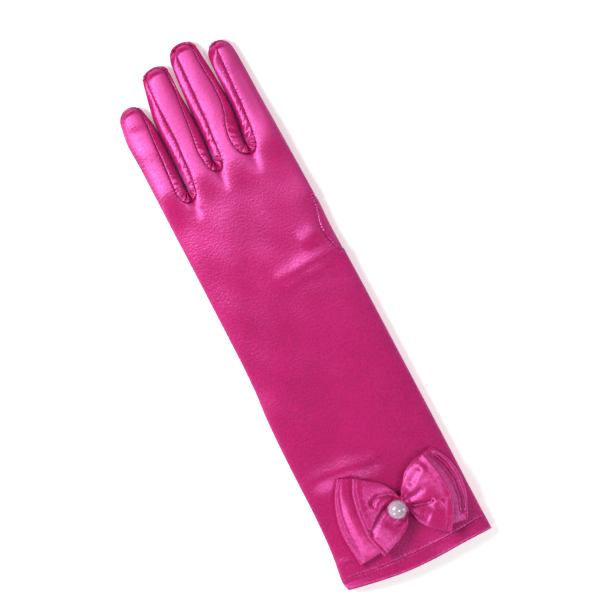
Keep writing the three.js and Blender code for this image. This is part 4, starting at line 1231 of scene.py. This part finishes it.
@dataclass
class Thumb:
    """The thumb's own piece: from its seam over the glove's edge, and folded flat under the palm."""

    form: GloveForm
    wall: float = 0.5
    across_steps: int = 44
    wrap_steps: int = 16
    body_steps: int = 40
    fold_bulge: float = 1.3
    tip_round: float = 0.2
    seam_gap: float = 0.03

    def seam_at(self, r: Array) -> tuple[Array, Array, Array]:
        """The visible seam's plan points, r running along it from -1 to 1, moved just off it on the thumb's side."""
        form = self.form

        def on_seam(t: Array) -> tuple[Array, Array]:
            """The bare seam."""
            y = mix(form.hole_low, form.hole_high, clamp01((t + 1) / 2))
            return form.sleeve_right(y) - form.thumb_seam(y, True), y

        (x0, y0), (x1, y1) = on_seam(r - 0.1), on_seam(r + 0.1)
        size = np.hypot(x1 - x0, y1 - y0)
        x, y = on_seam(r)
        x, y = x + self.seam_gap * (y1 - y0) / size, y + self.seam_gap * (x0 - x1) / size
        return x, y, form.heights(x, y, None)[1]

    def full(self, r: Array, s: Array, end: Array) -> Array:
        """How full the flattened tube is: 1 in its middle, 0 at its sides and tip."""
        start = end - self.tip_round
        tip = np.where(s > start, rounded((s - start) / self.tip_round, 2.2), 1.0)
        return rounded(r, 3) * tip

    def grids(self) -> list[Grid]:
        """The outer side: a wrap from the seam round the glove's edge, the layer on the table and the layer above."""
        form = self.form
        r = -np.cos(even(self.across_steps) * math.pi)[None, :]
        end = 1 - self.tip_round * (1 - rounded(r, 2))
        t = even(self.body_steps)[:, None] ** 0.9
        middle = form.thumb_height / 2

        def layer(start: Array | float, sign: float) -> Array:
            """One of the two layers, from its start along the thumb to its tip."""
            s = mix(start, end, t)
            x, y = form.thumb_plan(s, np.broadcast_to(r, s.shape))
            ripple = 0.12 * np.sin(s * 34 + 3 * r) * self.full(r, s, end)
            return np.stack([x, y, middle * (1 + sign * self.full(r, s, end)) + np.maximum(ripple, 0)], axis=-1)

        low = layer(0.1, -1.0)
        seam = np.stack(self.seam_at(r[0]), axis=-1)
        bulge = form.sleeve_right(seam[:, 1]) + self.fold_bulge * rounded(r[0], 4)
        first = low[0]
        near = np.stack([bulge, mix(seam[:, 1], first[:, 1], -0.15), mix(seam[:, 2], first[:, 2], 0.25)], axis=-1)
        far = np.stack([bulge, mix(seam[:, 1], first[:, 1], 0.1), first[:, 2]], axis=-1)
        u = even(self.wrap_steps)[:, None, None]
        wrap = seam * (1 - u) ** 3 + 3 * near * u * (1 - u) ** 2 + 3 * far * u**2 * (1 - u) + first * u**3
        under = np.concatenate([wrap[:-1], low])
        above = layer(mix(0.1, 0.3, rounded(r, 2)), 1.0)
        cloth = [np.stack([run_grid(part), part[..., 1] - 20], axis=-1) for part in (under, above)]
        return [Grid(under, cloth[0], None, flip=True), Grid(above, cloth[1], None, flip=False)]

    def seam_lines(self) -> list[SewnLine]:
        """The visible seam, on the glove's surface."""
        x, y, _ = self.seam_at(np.linspace(-1, 1, 90))
        return [line_on_glove(self.form, np.stack([x, y], axis=-1), None, Face.BACK, 0.45)]

    def build(self, lines: "SeamLines") -> bpy.types.Object:
        """Makes the thumb, with its sewn edge dipped and marked."""
        sheet = Sheet.sewn(self.grids())
        piece = make_piece("thumb_satin", sheet, lines.draw_in(sheet, 1.0))
        give_wall(piece, self.wall)
        return piece


def run_grid(points: Array) -> Array:
    """The length down each column of a grid of points."""
    steps = np.linalg.norm(np.diff(points, axis=0), axis=2)
    return np.concatenate([np.zeros((1, points.shape[1])), np.cumsum(steps, axis=0)])


# ---------------------------------------------------------------- stitches


@dataclass
class Stitches:
    """Rows of short stitches lying in the cloth: one capsule shape set along lines."""

    name: str
    length: float = 1.0
    radius: float = 0.12
    rings: int = 5
    sides: int = 6

    def capsule(self) -> tuple[Array, Array]:
        """A stitch along X: rings of a half-round profile, thick in the middle and sunk at its ends."""
        u = np.linspace(-1, 1, self.rings)[:, None]
        angle = np.arange(self.sides)[None, :] * 2 * math.pi / self.sides
        size = self.radius * (0.35 + 0.65 * np.sqrt(1 - (0.98 * u) ** 2))
        x = np.broadcast_to(u * self.length / 2, (self.rings, self.sides))
        lift = 0.10 * (1 - u**2) - 0.10
        points = np.stack([x, size * np.cos(angle), size * np.sin(angle) + lift], axis=-1)
        number = np.arange(self.rings * self.sides).reshape(self.rings, self.sides)
        after = np.roll(number, -1, axis=1)
        quads = np.stack([number[:-1], after[:-1], after[1:], number[1:]], axis=-1).reshape(-1, 4)
        return points.reshape(-1, 3), quads

    def build(self, places: Array, along: Array, up: Array) -> bpy.types.Object:
        """Sets one stitch at each place.

        Args:
            places: The stitches' middles, in millimetres.
            along: Each stitch's direction.
            up: The cloth's outward normal at each.

        Returns:
            One object with all of them.
        """
        shape, quads = self.capsule()
        x = along / np.linalg.norm(along, axis=1, keepdims=True)
        z = up - x * (up * x).sum(1, keepdims=True)
        z /= np.linalg.norm(z, axis=1, keepdims=True)
        y = np.cross(z, x)
        turn = np.stack([x, y, z], axis=1)
        points = (shape[None] @ turn) + places[:, None, :]
        corners = quads[None] + (np.arange(len(places)) * len(shape))[:, None, None]
        caps = []
        ring = np.arange(self.sides)
        for start, order in ((0, ring[::-1]), ((self.rings - 1) * self.sides, ring)):
            caps.append([(start + order).tolist()])
        mesh = bpy.data.meshes.new(self.name)
        faces = corners.reshape(-1, 4).tolist()
        for n in range(len(places)):
            faces += [[n * len(shape) + corner for corner in cap[0]] for cap in caps]
        mesh.from_pydata((points.reshape(-1, 3) * MM).tolist(), [], faces)
        mesh.polygons.foreach_set("use_smooth", np.ones(len(mesh.polygons), dtype=bool))
        mesh.validate()
        piece = bpy.data.objects.new(self.name, mesh)
        bpy.context.scene.collection.objects.link(piece)
        return piece


# ---------------------------------------------------------------- bows and bead


@dataclass(frozen=True)
class LoopPlan:
    """One loop of ribbon seen from above: its upper edge, outer fold and lower edge, from the knot outwards."""

    name: str
    top: tuple[tuple[float, float], ...]
    outer: tuple[tuple[float, float], ...]
    bottom: tuple[tuple[float, float], ...]
    folds: tuple[Fold, ...] = ()
    lip: float = 0.35

    def plan(self, out: Array, across: Array) -> Array:
        """A point in plan, blended from the loop's four sides (a Coons patch)."""
        top, bottom = along_points(self.top, out), along_points(self.bottom, out)
        far = along_points(self.outer, across)
        near_top, near_bottom = np.asarray(self.top[0]), np.asarray(self.bottom[0])
        far_top, far_bottom = np.asarray(self.outer[0]), np.asarray(self.outer[-1])
        o, a = out[..., None], across[..., None]
        knot = mix(near_top, near_bottom, a)
        return mix(top, bottom, a) + mix(knot, far, o) - mix(knot, mix(far_top, far_bottom, a), o)


@dataclass
class Bow:
    """A bow of one ribbon: a loop to each side, each a hairpin of cloth with a rolled outer fold, and its pinch."""

    form: GloveForm
    name: str
    left: LoopPlan
    right: LoopPlan
    base: float
    rise: float
    knot_height: float
    fold_height: float
    wall: float = 0.45
    across_steps: int = 72
    out_steps: int = 56
    edge_droop: float = 0.5
    fold_painted_shade: float = 0.5
    knot: tuple[float, float] = (6.6, -125.4)

    def loop_grid(self, loop: LoopPlan) -> Grid:
        """A loop's outer side: its front goes out to the fold, and its back comes home below.

        The front's height grows from the pinch to the fold. It rolls over at the fold by a round section,
        gathers into fine pleats at the pinch, and droops towards the ribbon's long edges.
        """
        out = np.sin(even(self.out_steps) * math.pi / 2) ** 0.95
        across = even(self.across_steps)
        o, a = np.meshgrid(out, across, indexing="ij")
        plan = loop.plan(o, a)
        x, y = plan[..., 0], plan[..., 1]
        under = self.form.heights(x, y, None)[1]
        base = under + self.base + self.rise * o
        height = mix(self.knot_height, self.fold_height, o**0.8)
        fold = rounded(o, 7)
        gather = 0.5 * np.sin(a * math.pi * 2 * 4.5 + 0.6) * np.exp(-((o / 0.42) ** 2)) * smooth(o / 0.05)
        droop = self.edge_droop * np.abs(2 * a - 1) ** 7 * smooth(o / 0.3)
        lip = loop.lip * (bell(o - 0.975, 0.03) - 0.7 * bell(o - 0.90, 0.04))
        shaped = total_rise(loop.folds, x, y) + gather + lip
        front_z = base + height / 2 + (height / 2 * (1 - droop) + shaped) * fold
        back_z = base + height / 2 - height / 2 * fold
        front = np.stack([x, y, np.maximum(front_z, back_z + 0.25 * fold)], axis=-1)
        back = np.stack([x, y, back_z], axis=-1)
        points = np.concatenate([front, back[::-1][1:]])
        cloth = np.stack(np.broadcast_arrays(a[0][None, :] * 48, run_grid(points)), axis=-1)
        return Grid(points, cloth, None, flip=loop is self.left)

    def pinch_grid(self) -> Grid:
        """The gathered pinch: an oval lump whose surface is drawn into creases that run across the bow."""
        under = float(self.form.heights(np.array(self.knot[0]), np.array(self.knot[1]), None)[1])
        u, v = np.meshgrid(even(40) * math.pi, even(64) * 2 * math.pi, indexing="ij")
        crease = 1 + 0.07 * np.sin(v * 9 + 0.5 * np.sin(v * 3)) * np.sin(u) ** 2
        half = (3.0 * crease, 5.6, self.knot_height / 2 + 0.35)
        points = np.stack([
            self.knot[0] + half[0] * np.sin(u) * np.cos(v),
            self.knot[1] + half[1] * np.cos(u) + 0 * v,
            under + self.base + self.knot_height / 2 + half[2] * np.sin(u) * np.sin(v),
        ], axis=-1)
        cloth = np.stack([u * 6, v * 4], axis=-1)
        return Grid(points, cloth, None, flip=False)

    def build(self) -> tuple[bpy.types.Object, bpy.types.Object]:
        """Makes the ribbon of both loops, with painted shade in its colour where a fold sinks, and the pinch."""
        sheet = Sheet.sewn([self.loop_grid(self.left), self.loop_grid(self.right)], 1e-4)
        folds = (*self.left.folds, *self.right.folds)
        # Painted shade: the deeper a fold sinks, the darker the ribbon's colour there.
        sunk = -total_rise(folds, sheet.points[:, 0], sheet.points[:, 1])
        ribbon = make_piece(f"{self.name}_ribbon", sheet, {"painted_crevice_shade": self.fold_painted_shade * smooth((sunk - 0.1) / 1.9)})
        give_wall(ribbon, self.wall)
        pinch = make_piece(f"{self.name}_pinch", Sheet.sewn([self.pinch_grid()]))
        return ribbon, pinch


LOWER_LEFT = LoopPlan(
    "lower_left",
    ((5, -119), (-2, -108), (-9, -101), (-15, -97.8), (-20, -95.5)),
    ((-20, -95.5), (-25.5, -103.5), (-29.5, -113), (-31.6, -123), (-31.6, -132), (-31, -139), (-30.5, -144.5)),
    ((6, -132), (0, -139), (-10, -143), (-20, -143.8), (-30.5, -144.5)),
    (Fold(((-22, -103), (-26, -115), (-27, -128), (-26, -141)), 2.4, -0.5),),
)
LOWER_RIGHT = LoopPlan(
    "lower_right",
    ((8, -120), (14, -111), (21, -106.5), (28, -104.8), (35, -104)),
    ((35, -104), (39, -111), (41.6, -119), (42.1, -127), (41, -135), (38, -142.5), (34.5, -149.5)),
    ((8, -130), (11, -139), (17, -144.5), (25, -147.8), (34.5, -149.5)),
    (Fold(((33.6, -106.5), (37.6, -116), (39.0, -127), (37.0, -138), (33.2, -146)), 1.3, -1.7, 0.1, 0.2),),
    lip=0.1,
)
UPPER_LEFT = LoopPlan(
    "upper_left",
    ((6.4, -120.5), (4, -113.5), (0, -108.3), (-6, -103.7), (-12, -99)),
    ((-12, -99), (-16, -106.5), (-18.3, -116), (-19.5, -126), (-19.6, -134), (-18, -141), (-16.5, -146)),
    ((6.6, -130), (4, -136), (-2, -140.3), (-9, -143.3), (-16.5, -146)),
    (
        Fold(((-9.5, -119.5), (-8.2, -116.5), (-4, -115), (1, -116.5), (5, -120.5)), 1.3, -1.5, 0.12, 0.3),
        Fold(((-9, -122.2), (-5, -119.8), (-1, -119.4), (3, -121.8)), 2.2, 0.5, 0.25, 0.2),
        Fold(((-18.5, -132.5), (-12, -127.8), (-6, -123.8), (0, -121)), 1.5, -1.5, 0.15, -0.3),
        Fold(((-17, -136.5), (-11, -133), (-5, -130)), 3.8, 0.5, 0.3, -0.2),
        Fold(((-5, -133), (0, -133.6), (5, -131.5)), 1.1, -0.9),
    ),
    lip=0.4,
)
UPPER_RIGHT = LoopPlan(
    "upper_right",
    ((7.2, -121), (9.5, -116.3), (14, -111.8), (20, -108), (30, -105)),
    ((30, -105), (31.8, -112), (33.2, -120), (33.6, -128), (32.5, -135.5), (28.5, -143.5), (23, -151.3)),
    ((7.8, -129), (9.2, -136.5), (12.5, -142), (17.5, -146.8), (23, -151.3)),
    (
        Fold(((13, -118.4), (19, -114.0), (25, -110.5)), 2.2, -0.9, 0.3),
        Fold(((10, -122.2), (16, -119.8), (22, -116.2), (28, -110)), 2.4, 0.7, 0.2, 0.2),
        Fold(((9, -124.2), (15, -123.6), (21, -121.4)), 1.6, -0.7, 0.2, -0.2),
        Fold(((8.8, -127.6), (13, -128.9), (18, -130.6), (23, -131)), 1.2, -1.8, 0.12, 0.3),
        Fold(((19, -134.2), (24, -133.4), (28, -132.0)), 2.8, 0.6, 0.3),
        Fold(((12, -134.5), (16, -139.5)), 3.2, -0.5),
    ),
    lip=0.25,
)


@dataclass
class Bead:
    """The pearl bead: a ball drilled through along X, and the loop of thread that holds it to the pinch."""

    form: GloveForm
    x: float = 2.2
    y: float = -126.0
    radius: float = 5.45
    drill: float = 0.55
    seat: float = 7.6

    def centre(self) -> Array:
        """The bead's middle, which the upper bow's pinch carries."""
        under = float(self.form.heights(np.array(self.x), np.array(self.y), None)[1])
        return np.array([self.x, self.y, under + self.seat + self.radius])

    def build(self) -> bpy.types.Object:
        """A closed turned surface about X: the ball from the first hole's rim to the other, and back inside."""
        start = math.asin(self.drill / self.radius)
        ball = np.linspace(start, math.pi - start, 64)
        profile_x = np.concatenate([-self.radius * np.cos(ball), [self.radius * 0.93, -self.radius * 0.93]])
        profile_r = np.concatenate([self.radius * np.sin(ball), [self.drill * 0.8, self.drill * 0.8]])
        profile_x, profile_r = np.append(profile_x, profile_x[0]), np.append(profile_r, profile_r[0])
        angle = even(96) * 2 * math.pi
        points = np.stack(np.broadcast_arrays(
            profile_x[:, None], profile_r[:, None] * np.cos(angle), profile_r[:, None] * np.sin(angle)), axis=-1)
        cloth = np.stack(np.broadcast_arrays(profile_x[:, None], angle[None, :]), axis=-1)
        sheet = Sheet.sewn([Grid(points + self.centre(), cloth, None, flip=True)], 1e-3)
        return make_piece("pearl_bead_lustre", sheet)

    def thread(self, radius: float = 0.22) -> bpy.types.Object:
        """The thread: out of each end of the hole, round the ball's underside and down into the pinch."""
        x, y, z = self.centre()
        path = along_points((
            (x + 2, y, z), (x + self.radius + 0.1, y, z - 0.15), (x + self.radius - 0.3, y, z - 2.6),
            (x + 3.4, y, z - self.radius - 0.2), (x + 1.0, y, z - self.radius - 1.6),
            (x - 1.0, y, z - self.radius - 1.6), (x - 3.4, y, z - self.radius - 0.2), (x - self.radius + 0.3, y, z - 2.6),
            (x - self.radius - 0.1, y, z - 0.15), (x - 2, y, z),
        ), even(90))
        tangent = np.gradient(path, axis=0)
        tangent /= np.linalg.norm(tangent, axis=1, keepdims=True)
        side = np.broadcast_to(np.array([0.0, 1.0, 0.0]), path.shape)
        up = np.cross(tangent, side)
        angle = even(8) * 2 * math.pi
        ring = np.cos(angle)[None, :, None] * side[:, None, :] + np.sin(angle)[None, :, None] * up[:, None, :]
        size = radius * np.sqrt(np.clip(1 - (2 * even(90) - 1) ** 40, 0, 1))
        points = path[:, None, :] + ring * size[:, None, None]
        cloth = np.stack(np.broadcast_arrays(run_along(path)[:, None], angle[None, :]), axis=-1)
        return make_piece("bead_thread", Sheet.sewn([Grid(points, cloth, None, flip=True)]))


# ---------------------------------------------------------------- setting


@dataclass(frozen=True)
class AreaLight:
    """A soft square light that looks at the glove."""

    name: str
    place: tuple[float, float, float]
    size: float
    watts: float
    colour: tuple[float, float, float] = (1.0, 1.0, 1.0)

    def build(self) -> None:
        """Adds the light, turned to the middle of the floor."""
        data = bpy.data.lights.new(self.name, "AREA")
        data.shape, data.size, data.energy, data.color = "SQUARE", self.size, self.watts, self.colour
        lamp = bpy.data.objects.new(self.name, data)
        lamp.location = self.place
        x, y, z = self.place
        lamp.rotation_euler = (math.atan2(math.hypot(x, y), z), 0.0, math.atan2(x, -y) + 0.0)
        bpy.context.scene.collection.objects.link(lamp)


@dataclass
class Studio:
    """The pale floor, the soft lights and the camera at the photograph's angle."""

    centre: tuple[float, float] = (8.63, 2.45)
    frame_mm: float = 336.0
    lens: float = 400.0
    up: tuple[float, float] = (0.4666, 0.8845)

    def camera(self) -> None:
        """Looks straight down on the glove, with the photograph's upright turned into the glove's frame."""
        data = bpy.data.cameras.new("photo_camera")
        data.lens, data.sensor_width, data.sensor_fit = self.lens, 36.0, "AUTO"
        data.clip_end = 20.0
        camera = bpy.data.objects.new("photo_camera", data)
        distance = self.frame_mm * MM * self.lens / data.sensor_width
        camera.location = (self.centre[0] * MM, self.centre[1] * MM, distance)
        camera.rotation_euler = (0.0, 0.0, math.atan2(-self.up[0], self.up[1]))
        bpy.context.scene.collection.objects.link(camera)
        bpy.context.scene.camera = camera

    def floor(self) -> None:
        """A wide pale floor with a faint, even unevenness in its finish."""
        half = 3.0
        mesh = bpy.data.meshes.new("floor")
        corners = [(-half, -half, 0), (half, -half, 0), (half, half, 0), (-half, half, 0)]
        mesh.from_pydata([(x, y, -0.0002) for x, y, _ in corners], [], [(0, 1, 2, 3)])
        floor = bpy.data.objects.new("floor", mesh)
        bpy.context.scene.collection.objects.link(floor)
        made = bpy.data.materials.new("pale_floor")
        made.use_nodes = True
        nodes = Nodes(made.node_tree)
        shader = made.node_tree.nodes["Principled BSDF"]
        place = nodes.add("ShaderNodeTexCoord").outputs["Object"]
        value = nodes.ramp(nodes.noise(place, 6.0, 2.0, 0.5), 0.3, 0.7, 0.0, 1.0)
        colour = nodes.add("ShaderNodeMix", {0: value, 6: (0.93, 0.93, 0.93, 1), 7: (0.95, 0.95, 0.95, 1)},
                           data_type="RGBA")
        made.node_tree.links.new(colour.outputs[2], shader.inputs["Base Color"])
        shader.inputs["Emission Color"].default_value = (1, 1, 1, 1)
        shader.inputs["Emission Strength"].default_value = 0.3
        shader.inputs["Roughness"].default_value = 0.9
        shader.inputs["Specular IOR Level"].default_value = 0.1
        mesh.materials.append(made)

    def lights(self) -> None:
        """Soft boxes where the bead's reflections show them, and an even white surrounding."""
        for light in (
            AreaLight("key_left", (-0.355, 0.257, 0.56), 0.28, 5.0),
            AreaLight("overhead_right", (0.20, -0.45, 0.84), 0.26, 2.5),
            AreaLight("low_left", (-0.70, -0.44, 0.43), 0.20, 1.5),
            AreaLight("side_right", (0.85, -0.53, 0.22), 0.30, 1.8),
        ):
            light.build()
        world = bpy.data.worlds.new("even_white")
        world.use_nodes = True
        world.node_tree.nodes["Background"].inputs["Color"].default_value = (1, 1, 1, 1)
        world.node_tree.nodes["Background"].inputs["Strength"].default_value = 0.23
        bpy.context.scene.world = world
        bpy.context.scene.view_settings.view_transform = "Standard"


# ---------------------------------------------------------------- putting it together


HEM_STITCHES = (
    (-42.5, -147.4), (-35, -148), (-30, -149), (-20, -150.3), (-10, -151.3), (0, -152), (10, -152.3), (20, -152.5),
    (30, -152.3), (38, -151.8), (43.4, -152.3),
)
SIDE_SEAM = (
    (-35.3, 84), (-35.2, 95), (-35.1, 105), (-35.2, 112), (-35.4, 118), (-35.6, 124), (-34.4, 130), (-33.4, 135),
    (-31.6, 138.6), (-28.5, 140.2), (-25.2, 140.7), (-22.4, 139.6),
)
BACK_FOLDS = (
    Fold(((10, 19.0), (25, 18.8), (39, 19.6)), 4.4, 0.2, 0.3, 0.2),
    Fold(((2, 9), (20, 10), (34, 12)), 5.0, -0.15, 0.3),
    Fold(((22, 30), (30, 31), (37, 33)), 5.0, 0.7, 0.3),
    Fold(((-46, -93.5), (-25, -90.5), (-10, -92), (4, -95)), 5.0, 0.5, 0.4, 0.2),
    Fold(((-34, -100), (-20, -99.5), (-8, -101.5)), 5.0, -0.25),
    Fold(((-43, -138), (-32, -141)), 2.4, 0.35),
    Fold(((-24, 75.5), (-14, 76.5)), 3.0, 0.3),
    Fold(((-46, 87), (0, 89), (50, 90)), 13.0, 0.7, 0.0),
    Fold(((37, 96), (37.5, 118), (37, 142)), 3.0, -0.5),
    Fold(((-44, 117), (-28, 115), (-16, 112)), 4.5, 0.25, 0.0),
    Fold(((-44, 128), (-28, 127), (-16, 124)), 3.6, -0.4, 0.0),
    Fold(((14, 108), (16, 128), (13, 146)), 3.5, 0.3),
)


def seat(piece: bpy.types.Object, slot: str, material: bpy.types.Material, nodes: Sequence[str] = ()) -> None:
    """Gives a finished piece its material and its body, and hides the CAD nodes that it stands for."""
    piece.data.materials.append(material)
    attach(piece, "root")
    if nodes:
        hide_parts(*nodes)
    LOG.info("%s: %d faces", piece.name, len(piece.data.polygons))


def main() -> None:
    """Builds the studio, the glove's cloth, the bows, its stitches and the bead, in that order."""
    logging.basicConfig(level=logging.INFO, format="%(name)s %(message)s")
    studio = Studio()
    studio.camera()
    studio.floor()
    studio.lights()

    weave, pull = satin_weave_group(), seam_pull_group()
    pink = dict(deep=(0.33, 0.002, 0.066), bright=(0.53, 0.006, 0.123), shade=(0.22, 0.002, 0.04),
                gloss_tint=(1.0, 0.25, 0.80))
    satin = SatinFinish("pink_satin", **pink).material(weave, pull)
    ribbon = SatinFinish("pink_ribbon", **pink, roughness=0.46, anisotropy=0.85, seams=False).material(weave, pull)
    thread = ThreadFinish().material()
    pearl = PearlFinish().material()

    form = GloveForm(folds=BACK_FOLDS)
    strips = [Fourchette(form, slit) for slit in SLITS]
    thumb = Thumb(form)
    seams = [line for strip in strips for line in strip.seam_lines()] + thumb.seam_lines()
    seams += [line_on_glove(form, along_points(HEM_STITCHES, even(160)), None, face, 0.09) for face in Face]
    seams.append(line_on_glove(form, along_points(SIDE_SEAM, even(120)), LITTLE, Face.BACK, 0.3))
    lines = SeamLines(seams)

    trank = Trank(form).build(lines)
    seat(trank, "satin", satin, ["trank"])
    for strip in strips:
        piece = strip.build(lines)
        seat(piece, "satin", satin, [f"fourchette_{strip.slit.name}"])
    thumb_piece = thumb.build(lines)
    seat(thumb_piece, "satin", satin, ["thumb"])

    lower = Bow(form, "bow_lower", LOWER_LEFT, LOWER_RIGHT, base=0.5, rise=0.0, knot_height=2.7, fold_height=4.6)
    upper = Bow(form, "bow_upper", UPPER_LEFT, UPPER_RIGHT, base=3.6, rise=1.9, knot_height=2.7, fold_height=5.4)
    for bow, length, under in ((lower, 0.125, "trank_satin"), (upper, 0.090, "bow_lower_ribbon")):
        cloth, pinch = bow.build()
        seat(cloth, "satin", ribbon, [bow.name])
        seat(pinch, "satin", ribbon)

    seat(Stitches("seam_stitches").build(*lines.stitches(1.6, 0.9)), "satin", thread)

    bead = Bead(form)
    seat(bead.build(), "pearl", pearl, ["pearl_bead"])
    seat(bead.thread(), "satin", thread)


if __name__ == "__main__":
    main()
